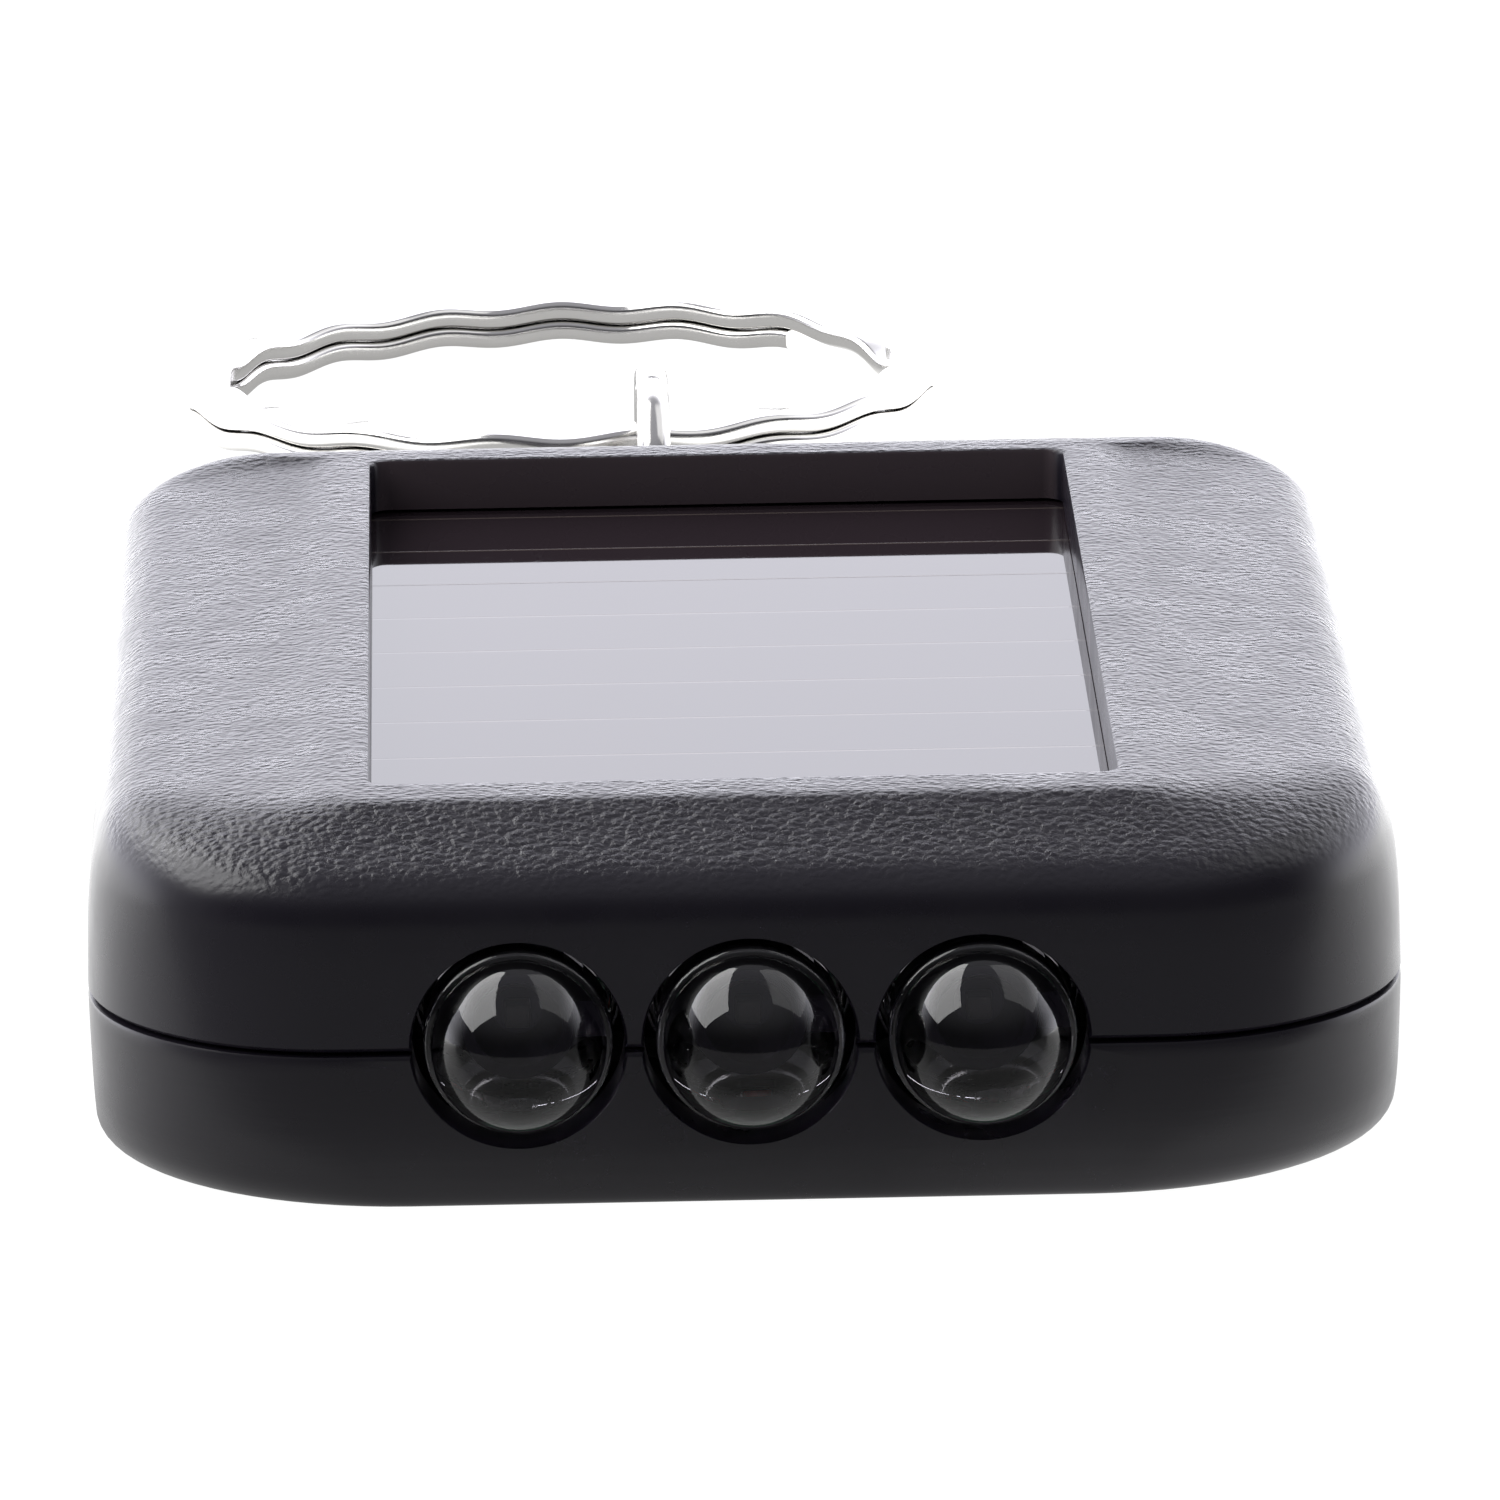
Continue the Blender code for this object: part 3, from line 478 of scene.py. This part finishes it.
def make_die(name):
    x, front, z, _ = led_axis(name)
    bm = bmesh.new()
    box_between(bm, (-0.16, front + 3.72, -0.16), (0.16, front + 3.93, 0.16))
    bmesh.ops.translate(bm, verts=bm.verts, vec=Vector((x, 0.0, z)) * MM)
    die = new_object("led_" + name + "_die", bm)
    soften(die, 0.03)
    return die


# ---------------------------------------------------------------- panel glass

def make_glass():
    low_z = glass_low.z / MM
    high_z = glass_high.z / MM
    half_x = glass_high.x / MM
    front = glass_low.y / MM
    rear = glass_high.y / MM
    rings = [box_ring(half_x - 0.12, front + 0.12, rear - 0.12, 0.45, low_z),
             box_ring(half_x, front, rear, 0.5, low_z + 0.12),
             box_ring(half_x, front, rear, 0.5, high_z - 0.12),
             box_ring(half_x - 0.12, front + 0.12, rear - 0.12, 0.45, high_z)]
    return loft("solar_glass_sheet", rings)


# ---------------------------------------------------------------- button, screws

def make_button():
    """A dished cap under a flange that stays inside the case, with a stem up to the switch."""
    x, y = button_axis()
    low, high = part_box("button_cap")
    under = low.z / MM
    top = high.z / MM
    profile = [(0.0, under + BUTTON_DISH_DEPTH)]
    for i in range(1, 15):
        profile.append((BUTTON_DISH_RADIUS * i / 14, under + BUTTON_DISH_DEPTH * (1.0 - (i / 14) ** 2)))
    profile += [(3.75, under), (3.95, under + 0.03), (4.1, under + 0.12), (4.18, under + 0.28),
                (BUTTON_RADIUS, under + 0.45), (BUTTON_RADIUS, 1.6), (BUTTON_FLANGE_RADIUS, 1.6),
                (BUTTON_FLANGE_RADIUS, 2.1), (BUTTON_STEM_RADIUS, 2.1), (BUTTON_STEM_RADIUS, top), (0.0, top)]
    return turned("button_cap_moulding", profile, (x, y, 0.0), steps=128)


def make_screw(node, x, y, low):
    """Pan head with a cross recess, seen from below, on a threaded shank."""
    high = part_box(node)[1].z / MM
    head_high = low + SCREW_HEAD_HEIGHT
    profile = [(0.0, low)]
    for i in range(1, 9):
        angle = math.radians(90.0 * i / 8)
        profile.append((0.85 + 0.75 * math.sin(angle), low + 0.35 * (1.0 - math.cos(angle))))
    profile += [(SCREW_HEAD_RADIUS, head_high - 0.05), (SCREW_HEAD_RADIUS - 0.05, head_high),
                (SCREW_CORE_RADIUS, head_high)]
    z = head_high
    while z + SCREW_PITCH < high - SCREW_POINT:
        profile += [(SCREW_CORE_RADIUS, z + 0.2), (SCREW_THREAD_RADIUS, z + 0.31),
                    (SCREW_CORE_RADIUS, z + 0.42)]
        z += SCREW_PITCH
    profile += [(0.6, high - SCREW_POINT), (0.0, high)]
    screw = turned(node + "_turned", profile, (x, y, 0.0), steps=48)
    for turn in (0.0, 90.0):
        bm = bmesh.new()
        box_between(bm, (-0.85, -0.17, low - 0.5), (0.85, 0.17, low + 0.42))
        bmesh.ops.rotate(bm, verts=bm.verts, matrix=Matrix.Rotation(math.radians(turn + 20.0), 3, "Z"))
        bmesh.ops.translate(bm, verts=bm.verts, vec=Vector((x, y, 0.0)) * MM)
        boolean(screw, new_object("recess", bm), "DIFFERENCE")
    reshade(screw, 40.0)
    return screw


# ---------------------------------------------------------------- chain and ring

def make_link(index, yaw, upright):
    """A stadium of round wire with a butt seam pressed into one long side."""
    bend = LINK_WIDTH / 2 - LINK_WIRE_RADIUS
    straight = (LINK_LENGTH - LINK_WIDTH) / 2
    stations = []
    for end, start in ((1, 0.0), (-1, 180.0)):
        for i in range(25):
            angle = math.radians(start + 180.0 * i / 24)
            outward = Vector((math.cos(angle), math.sin(angle), 0.0))
            stations.append((Vector((0.0, end * straight, 0.0)) + outward * bend, outward, 1.0))
        if end > 0:
            out = Vector((-1.0, 0.0, 0.0))
            for y, scale in ((0.35, 1.0), (0.09, 0.985), (0.04, 0.93), (0.0, 0.84), (-0.04, 0.93),
                             (-0.09, 0.985), (-0.35, 1.0)):
                stations.append((Vector((-bend, y, 0.0)), out, scale))
    rings = []
    up = Vector((0.0, 0.0, 1.0))
    for centre, outward, scale in stations:
        ring = []
        for i in range(24):
            angle = 2.0 * math.pi * i / 24
            around = outward * math.cos(angle) + up * math.sin(angle)
            ring.append(tuple(centre + around * LINK_DRAWN_RADIUS * scale))
        rings.append(ring)
    link = loft("chain_link_wire_" + str(index), rings, caps=False, sharp=60.0)
    low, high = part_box("chain_link_" + str(index))
    turn = Matrix.Rotation(math.radians(yaw), 4, "Z")
    if upright:
        turn = turn @ Matrix.Rotation(math.radians(90.0), 4, "Y")
    link.data.transform(Matrix.Translation((low + high) / 2) @ turn)
    return link


def make_ring():
    """Two flat coils of one strip with rounded edges, slightly wavy, joined by a short step."""
    radius = RING_RADIUS - RING_STRIP_WIDTH / 2
    flat_w = RING_STRIP_WIDTH / 2 - COIL_EDGE
    flat_h = COIL_HEIGHT / 2 - COIL_EDGE
    section = []
    for side, level, start in ((1, -1, -90.0), (1, 1, 0.0), (-1, 1, 90.0), (-1, -1, 180.0)):
        for i in range(5):
            angle = math.radians(start + 90.0 * i / 4)
            section.append((side * flat_w + COIL_EDGE * math.cos(angle),
                            level * flat_h + COIL_EDGE * math.sin(angle)))
    offset = (COIL_HEIGHT + COIL_GAP) / 2
    first = RING_STEP_HALF
    last = 720.0 - RING_STEP_HALF
    count = 680
    rings = []
    for i in range(count + 1):
        travel = first + (last - first) * i / count
        climb = min(max((travel - (360.0 - RING_STEP_HALF)) / (2 * RING_STEP_HALF), 0.0), 1.0)
        climb = climb * climb * (3.0 - 2.0 * climb)
        angle = math.radians(travel + RING_STEP_ANGLE)
        outward = Vector((math.cos(angle), math.sin(angle), 0.0))
        height = offset * (2.0 * climb - 1.0) + RING_WAVE_HEIGHT * math.sin(RING_WAVES * angle)
        centre = outward * radius + Vector((0.0, 0.0, height))
        rings.append([tuple(centre + outward * a + Vector((0.0, 0.0, b))) for a, b in section])
    ring = loft("split_ring_coils", rings, sharp=50.0)
    low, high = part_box("split_ring")
    thickness = 2 * COIL_HEIGHT + COIL_GAP + 2 * RING_WAVE_HEIGHT
    tilt = math.asin(((high.z - low.z) / MM - thickness) / (2 * RING_RADIUS))
    heading = math.radians(RING_YAW)
    turn = (Matrix.Rotation(heading, 4, "Z") @ Matrix.Rotation(-tilt, 4, "X")
            @ Matrix.Rotation(-heading, 4, "Z"))
    ring.data.transform(Matrix.Translation((low + high) / 2) @ turn)
    return ring


# ---------------------------------------------------------------- materials

class Nodes:
    """A short way to write node trees."""

    def __init__(self, name):
        self.material = bpy.data.materials.new(name)
        self.material.use_nodes = True
        self.tree = self.material.node_tree
        self.shader = self.tree.nodes["Principled BSDF"]

    def add(self, kind, **values):
        node = self.tree.nodes.new(kind)
        for key, value in values.items():
            if key in node.inputs:
                node.inputs[key].default_value = value
            else:
                setattr(node, key, value)
        return node

    def link(self, source, target):
        self.tree.links.new(source, target)

    def coordinates(self):
        return self.add("ShaderNodeTexCoord").outputs["Object"]

    def noise(self, scale, detail=4.0, roughness=0.5, where=None):
        node = self.add("ShaderNodeTexNoise", Scale=scale, Detail=detail, Roughness=roughness)
        self.link(where or self.coordinates(), node.inputs["Vector"])
        return node.outputs["Fac"]

    def span(self, value, low, high, to_low, to_high):
        node = self.add("ShaderNodeMapRange")
        node.inputs["From Min"].default_value = low
        node.inputs["From Max"].default_value = high
        node.inputs["To Min"].default_value = to_low
        node.inputs["To Max"].default_value = to_high
        self.link(value, node.inputs["Value"])
        return node.outputs["Result"]

    def maths(self, operation, first, second=None):
        node = self.add("ShaderNodeMath", operation=operation)
        for socket, value in zip(node.inputs, (first, second)):
            if value is None:
                continue
            if isinstance(value, (int, float)):
                socket.default_value = value
            else:
                self.link(value, socket)
        return node.outputs["Value"]

    def mix(self, factor, first, second):
        """Blend two plain colours."""
        node = self.add("ShaderNodeMix", data_type="RGBA")
        self.link(factor, node.inputs["Factor"])
        node.inputs[MIX_FIRST].default_value = (*first, 1.0)
        node.inputs[MIX_SECOND].default_value = (*second, 1.0)
        return node.outputs[MIX_RESULT]

    def cover(self, factor, under, colour):
        """Lay one plain colour over a colour that comes from another node."""
        node = self.add("ShaderNodeMix", data_type="RGBA")
        self.link(factor, node.inputs["Factor"])
        self.link(under, node.inputs[MIX_FIRST])
        node.inputs[MIX_SECOND].default_value = (*colour, 1.0)
        return node.outputs[MIX_RESULT]

    def bump(self, height, distance, strength=1.0, normal=None):
        node = self.add("ShaderNodeBump", Strength=strength, Distance=distance)
        self.link(height, node.inputs["Height"])
        if normal is not None:
            self.link(normal, node.inputs["Normal"])
        return node.outputs["Normal"]


def plain_surface(name, first, second, roughness, metallic=0.0, grain=800.0, depth=4e-6):
    """A moulded, plated or painted finish: two close tones, uneven gloss and a fine surface relief."""
    n = Nodes(name)
    n.link(n.mix(n.noise(grain * 0.25), first, second), n.shader.inputs["Base Color"])
    n.shader.inputs["Metallic"].default_value = metallic
    n.link(n.span(n.noise(grain * 0.6), 0.3, 0.7, roughness - 0.04, roughness + 0.04),
           n.shader.inputs["Roughness"])
    n.link(n.bump(n.noise(grain, 5.0, 0.6), depth), n.shader.inputs["Normal"])
    return n.material


def case_top_material():
    """Black ABS: leather grain on the top and its slopes, nearly smooth on the upright walls. The rear wall
    of the window recess carries painted light.
    """
    n = Nodes("case_top_plastic")
    where = n.coordinates()
    place = n.add("ShaderNodeSeparateXYZ")
    n.link(where, place.inputs["Vector"])
    facing = n.add("ShaderNodeSeparateXYZ")
    n.link(n.add("ShaderNodeNewGeometry").outputs["Normal"], facing.inputs["Vector"])
    plastic = n.mix(n.noise(300.0), (0.0085, 0.0068, 0.0125), (0.0115, 0.0098, 0.0155))
    # Painted light: the rear wall of the window recess (facing -Y, behind y = 10 mm) is coloured lighter than
    # the rest of the black moulding.
    recess = n.maths("MULTIPLY", n.span(facing.outputs["Y"], -0.9, -0.6, 1.0, 0.0),
                     n.span(place.outputs["Y"], 10.0 * MM, 14.0 * MM, 0.0, 1.0))
    n.link(n.cover(recess, plastic, (0.066, 0.050, 0.057)), n.shader.inputs["Base Color"])
    upward = n.span(facing.outputs["Z"], 0.3, 0.85, 0.0, 1.0)
    upper = n.maths("MULTIPLY", n.span(place.outputs["Z"], 8.6 * MM, 9.9 * MM, 0.0, 1.0), upward)
    grain_place = n.add("ShaderNodeMapping")
    grain_place.inputs["Scale"].default_value = (0.75, 1.0, 1.0)
    n.link(where, grain_place.inputs["Vector"])
    warp = n.add("ShaderNodeTexNoise", Scale=1500.0, Detail=2.0)
    n.link(where, warp.inputs["Vector"])
    shifted = n.add("ShaderNodeVectorMath", operation="MULTIPLY_ADD")
    n.link(warp.outputs["Color"], shifted.inputs[0])
    shifted.inputs[1].default_value = (0.00016, 0.00016, 0.00016)
    n.link(grain_place.outputs["Vector"], shifted.inputs[2])
    cells = n.add("ShaderNodeTexVoronoi", Scale=5200.0, feature="SMOOTH_F1")
    cells.inputs["Smoothness"].default_value = 0.45
    n.link(shifted.outputs["Vector"], cells.inputs["Vector"])
    fine = n.noise(8000.0, 3.0, 0.6, shifted.outputs["Vector"])
    domes = n.maths("MULTIPLY", cells.outputs["Distance"], -0.9)
    relief = n.maths("ADD", domes, n.maths("MULTIPLY", fine, 0.7))
    grain_height = n.maths("MULTIPLY", relief, upper)
    coarse = n.bump(n.noise(140.0, 2.0), 1.2e-5, 0.5)
    grain = n.bump(grain_height, 6.0e-5, 1.0, coarse)
    flow = n.noise(2200.0, 4.0, 0.6)
    n.link(n.bump(flow, 3e-6, 0.7, grain), n.shader.inputs["Normal"])
    n.link(n.span(n.noise(500.0), 0.3, 0.7, 0.24, 0.32), n.shader.inputs["Roughness"])
    n.shader.inputs["IOR"].default_value = 1.5
    return n.material


def case_base_material():
    """Black ABS from a smoother mould: faint flow lines along the walls."""
    n = Nodes("case_base_plastic")
    where = n.coordinates()
    n.link(n.mix(n.noise(260.0), (0.0085, 0.007, 0.0115), (0.0115, 0.0098, 0.0145)),
           n.shader.inputs["Base Color"])
    stretch = n.add("ShaderNodeMapping")
    stretch.inputs["Scale"].default_value = (120.0, 120.0, 2600.0)
    n.link(where, stretch.inputs["Vector"])
    lines = n.noise(1.0, 4.0, 0.6, stretch.outputs["Vector"])
    flow = n.bump(lines, 1.1e-5, 0.6)
    n.link(n.bump(n.noise(2400.0, 4.0, 0.6), 4e-6, 0.7, flow), n.shader.inputs["Normal"])
    n.link(n.span(n.noise(420.0), 0.3, 0.7, 0.25, 0.34), n.shader.inputs["Roughness"])
    n.shader.inputs["IOR"].default_value = 1.5
    return n.material


def panel_material():
    """Dark glass over brown-black cell strips, parted by fine lines every cell pitch."""
    n = Nodes("solar_panel_glass")
    place = n.add("ShaderNodeSeparateXYZ")
    n.link(n.coordinates(), place.inputs["Vector"])
    along = n.maths("DIVIDE", n.maths("SUBTRACT", place.outputs["Y"], FILM_FRONT * MM), CELL_PITCH * MM)
    near = n.maths("ABSOLUTE", n.maths("SUBTRACT", n.maths("FRACT", along), 0.5))
    line = n.span(near, 0.482, 0.49, 0.0, 1.0)
    strips = n.mix(n.noise(60.0, 2.0), (0.014, 0.010, 0.013), (0.020, 0.014, 0.017))
    n.link(n.cover(line, strips, (0.075, 0.06, 0.055)), n.shader.inputs["Base Color"])
    dust = n.span(n.noise(900.0, 6.0, 0.7), 0.62, 0.8, 0.0, 0.16)
    n.link(n.maths("ADD", n.maths("MULTIPLY", line, 0.02), n.maths("ADD", dust, 0.02)),
           n.shader.inputs["Roughness"])
    n.link(n.bump(n.maths("MULTIPLY", line, -1.0), 1.2e-6), n.shader.inputs["Normal"])
    n.shader.inputs["IOR"].default_value = 1.5
    return n.material


def epoxy_material():
    """Water-clear epoxy, with the slightest unevenness of a cast surface."""
    n = Nodes("clear_epoxy")
    n.shader.inputs["Transmission Weight"].default_value = 1.0
    n.shader.inputs["IOR"].default_value = 1.54
    n.link(n.mix(n.noise(200.0), (0.95, 0.92, 1.0), (0.98, 0.96, 1.0)), n.shader.inputs["Base Color"])
    n.link(n.span(n.noise(700.0), 0.45, 0.8, 0.0, 0.03), n.shader.inputs["Roughness"])
    n.link(n.bump(n.noise(350.0, 2.0), 4e-6, 0.6), n.shader.inputs["Normal"])
    return n.material


def metal_material(name, first, second, roughness):
    """Bare or plated metal with fine brush marks along one direction."""
    n = Nodes(name)
    where = n.coordinates()
    n.link(n.mix(n.noise(500.0, 3.0), first, second), n.shader.inputs["Base Color"])
    n.shader.inputs["Metallic"].default_value = 1.0
    stretch = n.add("ShaderNodeMapping")
    stretch.inputs["Scale"].default_value = (3000.0, 360.0, 3000.0)
    stretch.inputs["Rotation"].default_value = (0.3, 0.2, 0.9)
    n.link(where, stretch.inputs["Vector"])
    fine = n.noise(1.0, 5.0, 0.7, stretch.outputs["Vector"])
    n.link(n.bump(fine, 2.5e-6, 0.6), n.shader.inputs["Normal"])
    n.link(n.span(n.noise(900.0, 4.0), 0.3, 0.7, roughness - 0.04, roughness + 0.07),
           n.shader.inputs["Roughness"])
    return n.material


# ---------------------------------------------------------------- stage

def make_camera():
    """A long lens, low in front of the LEDs, a little to the left and rolled by under a degree."""
    elevation = math.radians(15.5)
    yaw = math.radians(1.12364)
    roll = math.radians(-0.75807)
    distance = 409.32
    aim = Vector((0.0895, -CASE_HALF_Y, 13.146))
    forward = Vector((math.sin(yaw) * math.cos(elevation), math.cos(yaw) * math.cos(elevation),
                      -math.sin(elevation)))
    right = forward.cross(Vector((0.0, 0.0, 1.0))).normalized()
    up = right.cross(forward)
    rolled_right = right * math.cos(roll) + up * math.sin(roll)
    rolled_up = up * math.cos(roll) - right * math.sin(roll)
    data = bpy.data.cameras.new("camera")
    data.sensor_width = 36.0
    data.lens = 357.24
    data.clip_start = 0.02
    data.clip_end = 20.0
    camera = bpy.data.objects.new("camera", data)
    bpy.context.collection.objects.link(camera)
    turn = Matrix((rolled_right, rolled_up, -forward)).transposed().to_4x4()
    camera.matrix_world = Matrix.Translation((aim - forward * distance) * MM) @ turn
    bpy.context.scene.camera = camera


def make_floor():
    """A round floor that the lens sees as white. Other rays find it dim in front, a little brighter
    from just before the lamps on, and bright behind, apart from a strip along the chain."""
    bm = bmesh.new()
    steps = 96
    reach = 3.0
    rim = []
    for i in range(steps):
        angle = 2 * math.pi * i / steps
        rim.append(bm.verts.new((reach * math.cos(angle), reach * math.sin(angle), 0.0)))
    bm.faces.new(rim)
    floor = new_object("floor", bm)
    floor.location.z = -0.00002
    n = Nodes("pale_floor")
    n.shader.inputs["Base Color"].default_value = (0.1, 0.1, 0.1, 1.0)
    n.shader.inputs["Roughness"].default_value = 0.9
    n.shader.inputs["Specular IOR Level"].default_value = 0.0
    n.shader.inputs["Emission Color"].default_value = (1.0, 1.0, 1.0, 1.0)
    place = n.add("ShaderNodeSeparateXYZ")
    n.link(n.coordinates(), place.inputs["Vector"])
    behind = n.span(place.outputs["Y"], -0.03, 0.05, 0.0, 1.0)
    off_centre = n.maths("ABSOLUTE", n.maths("ADD", place.outputs["X"], 0.0055))
    beyond = n.span(place.outputs["Y"], 0.085, 0.11, 0.0, 1.0)
    beside = n.maths("MAXIMUM", n.span(off_centre, 0.009, 0.017, 0.0, 1.0), beyond)
    glow = n.maths("ADD", n.maths("MULTIPLY", n.maths("MULTIPLY", behind, beside), 2.6), 0.15)
    close = n.span(place.outputs["Y"], -0.0280, -0.0240, 0.0, 0.33)
    glow = n.maths("ADD", glow, close)
    seen = n.add("ShaderNodeLightPath").outputs["Is Camera Ray"]
    n.link(n.maths("ADD", n.maths("MULTIPLY", glow, n.maths("SUBTRACT", 1.0, seen)), seen),
           n.shader.inputs["Emission Strength"])
    floor.data.materials.append(n.material)


def make_world():
    """Bright backdrop low behind the object, dim room on the camera's side; the lens sees white."""
    world = bpy.data.worlds.new("studio")
    bpy.context.scene.world = world
    world.use_nodes = True
    tree = world.node_tree
    tree.nodes.clear()

    def add(kind, **values):
        node = tree.nodes.new(kind)
        for key, value in values.items():
            setattr(node, key, value)
        return node

    def ramp(value, low, high, to_low, to_high):
        node = add("ShaderNodeMapRange", interpolation_type="SMOOTHSTEP")
        for key, number in (("From Min", low), ("From Max", high), ("To Min", to_low), ("To Max", to_high)):
            node.inputs[key].default_value = number
        tree.links.new(value, node.inputs["Value"])
        return node.outputs["Result"]

    def maths(operation, first, second):
        node = add("ShaderNodeMath", operation=operation)
        for socket, value in zip(node.inputs, (first, second)):
            if isinstance(value, float):
                socket.default_value = value
            else:
                tree.links.new(value, socket)
        return node.outputs["Value"]

    direction = add("ShaderNodeSeparateXYZ")
    tree.links.new(add("ShaderNodeTexCoord").outputs["Generated"], direction.inputs["Vector"])
    behind = ramp(direction.outputs["Y"], -0.25, 0.45, 0.0, 1.0)
    low = ramp(direction.outputs["Z"], 0.42, 0.75, 1.0, 0.0)
    horizon = maths("ADD", ramp(direction.outputs["Z"], 0.05, 0.22, 1.0, 0.0), 2.3)
    backdrop = maths("MULTIPLY", maths("MULTIPLY", behind, low), horizon)
    ceiling = maths("MULTIPLY", ramp(direction.outputs["Z"], 0.2, 0.9, 0.0, 1.0), 0.35)
    total = maths("ADD", maths("ADD", backdrop, ceiling), 0.07)
    light = add("ShaderNodeBackground")
    tree.links.new(total, light.inputs["Strength"])
    seen = add("ShaderNodeBackground")
    seen.inputs["Strength"].default_value = 1.05
    light.inputs["Color"].default_value = (0.97, 0.97, 1.06, 1.0)
    seen.inputs["Color"].default_value = (1.0, 1.0, 1.0, 1.0)
    pick = add("ShaderNodeMixShader")
    tree.links.new(add("ShaderNodeLightPath").outputs["Is Camera Ray"], pick.inputs["Fac"])
    tree.links.new(light.outputs[0], pick.inputs[1])
    tree.links.new(seen.outputs[0], pick.inputs[2])
    tree.links.new(pick.outputs[0], add("ShaderNodeOutputWorld").inputs["Surface"])


def soft_box(name, place, width, depth, radiance):
    """A rectangular area light of even brightness, aimed at the front of the case."""
    data = bpy.data.lights.new(name, "AREA")
    data.shape = "RECTANGLE"
    data.size = width
    data.size_y = depth
    data.energy = radiance * math.pi * width * depth
    lamp = bpy.data.objects.new(name, data)
    bpy.context.collection.objects.link(lamp)
    lamp.location = place
    lamp.rotation_mode = "QUATERNION"
    lamp.rotation_quaternion = (Vector((0.0, -0.02, 0.0)) - Vector(place)).to_track_quat("-Z", "Y")


def make_lights():
    soft_box("soft_box_upper_left", (-0.36, 0.08, 0.40), 0.78, 0.42, 4.0)
    soft_box("soft_box_upper_right", (0.34, 0.10, 0.44), 0.6, 0.42, 0.7)


# ---------------------------------------------------------------- assembly

def place(piece, body, material, slot, *nodes):
    """Give a piece its look and its body, and name the CAD nodes it stands in for; the slot is not used."""
    piece.data.materials.clear()
    piece.data.materials.append(material)
    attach(piece, body)
    if nodes:
        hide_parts(*nodes)


def finish_cad_node(node, material):
    """Give a look to a CAD node that is shown as it is."""
    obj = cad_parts[node]
    obj.data.materials.clear()
    obj.data.materials.append(material)


make_camera()
make_floor()
make_world()
make_lights()
bpy.context.scene.view_settings.view_transform = "Standard"

nickel = metal_material("nickel_plate", (0.74, 0.73, 0.71), (0.68, 0.67, 0.65), 0.14)
# Painted shade: the lamps' lead frames are coloured near black so the inside of each lamp looks dark; the
# real frame is bright plated metal.
lead_frame = metal_material("lead_frame_painted_shade", (0.014, 0.012, 0.018), (0.009, 0.008, 0.012), 0.5)
zinc = metal_material("zinc_plate", (0.62, 0.62, 0.60), (0.52, 0.52, 0.50), 0.24)
cell_steel = metal_material("cell_steel", (0.66, 0.65, 0.63), (0.6, 0.59, 0.57), 0.22)
black_moulding = plain_surface("black_moulding", (0.018, 0.018, 0.018), (0.028, 0.027, 0.026), 0.42)
epoxy = epoxy_material()
rubber = plain_surface("button_rubber", (0.016, 0.016, 0.018), (0.024, 0.024, 0.026), 0.5, 0.0, 3000.0, 8e-6)

place(make_top_shell(), "housing", case_top_material(), "case", "top_shell")
place(make_bottom_shell(), "housing", case_base_material(), "case", "bottom_shell")
place(make_glass(), "housing", panel_material(), "panel_glass", "solar_glass")

die_face = plain_surface("phosphor_die", (0.010, 0.009, 0.009), (0.014, 0.012, 0.011), 0.6)
die_face.node_tree.nodes["Principled BSDF"].inputs["Specular IOR Level"].default_value = 0.1
for led in LED_NAMES:
    place(make_lens(led), "housing", epoxy, "clear_epoxy", "led_lens_" + led)
    place(make_lead_frame(led), "housing", lead_frame, "tinned_lead",
          "led_cathode_" + led, "led_anode_" + led)
    place(make_die(led), "housing", die_face, "clear_epoxy")

place(make_button(), "button", rubber, "button", "button_cap")
for screw_node, sx, sy, sz in screw_places():
    place(make_screw(screw_node, sx, sy, sz), "housing", zinc, "screw_steel", screw_node)

for number, link_yaw in enumerate(LINK_YAWS, 1):
    wire_link = make_link(number, link_yaw, number % 2 == 1)
    place(wire_link, "link_" + str(number), nickel, "nickel", "chain_link_" + str(number))
place(make_ring(), "key_ring", nickel, "nickel", "split_ring")

kept = {
    "solar_cell_film": plain_surface("cell_film", (0.03, 0.017, 0.02), (0.045, 0.026, 0.028), 0.3),
    "panel_foam_frame": plain_surface("foam", (0.035, 0.035, 0.035), (0.06, 0.06, 0.06), 0.9, 0.0,
                                      3500.0, 5e-5),
    "circuit_board": plain_surface("solder_mask", (0.015, 0.13, 0.05), (0.02, 0.17, 0.065), 0.4),
    "charge_diode": black_moulding,
    "switch_body": black_moulding,
    "switch_plunger": plain_surface("plunger_nylon", (0.55, 0.06, 0.04), (0.64, 0.09, 0.06), 0.45),
    "battery_can": cell_steel,
    "battery_cap": cell_steel,
    "battery_gasket": plain_surface("gasket_nylon", (0.03, 0.03, 0.035), (0.05, 0.05, 0.055), 0.55),
    "battery_tab_positive": nickel,
    "battery_tab_negative": nickel,
    "panel_wire_red": plain_surface("red_insulation", (0.52, 0.02, 0.015), (0.64, 0.035, 0.025), 0.4),
    "panel_wire_black": plain_surface("black_insulation", (0.015, 0.015, 0.015), (0.025, 0.025, 0.025), 0.4),
}
for led in LED_NAMES:
    kept["led_resistor_" + led] = black_moulding
for kept_node, kept_material in kept.items():
    finish_cad_node(kept_node, kept_material)
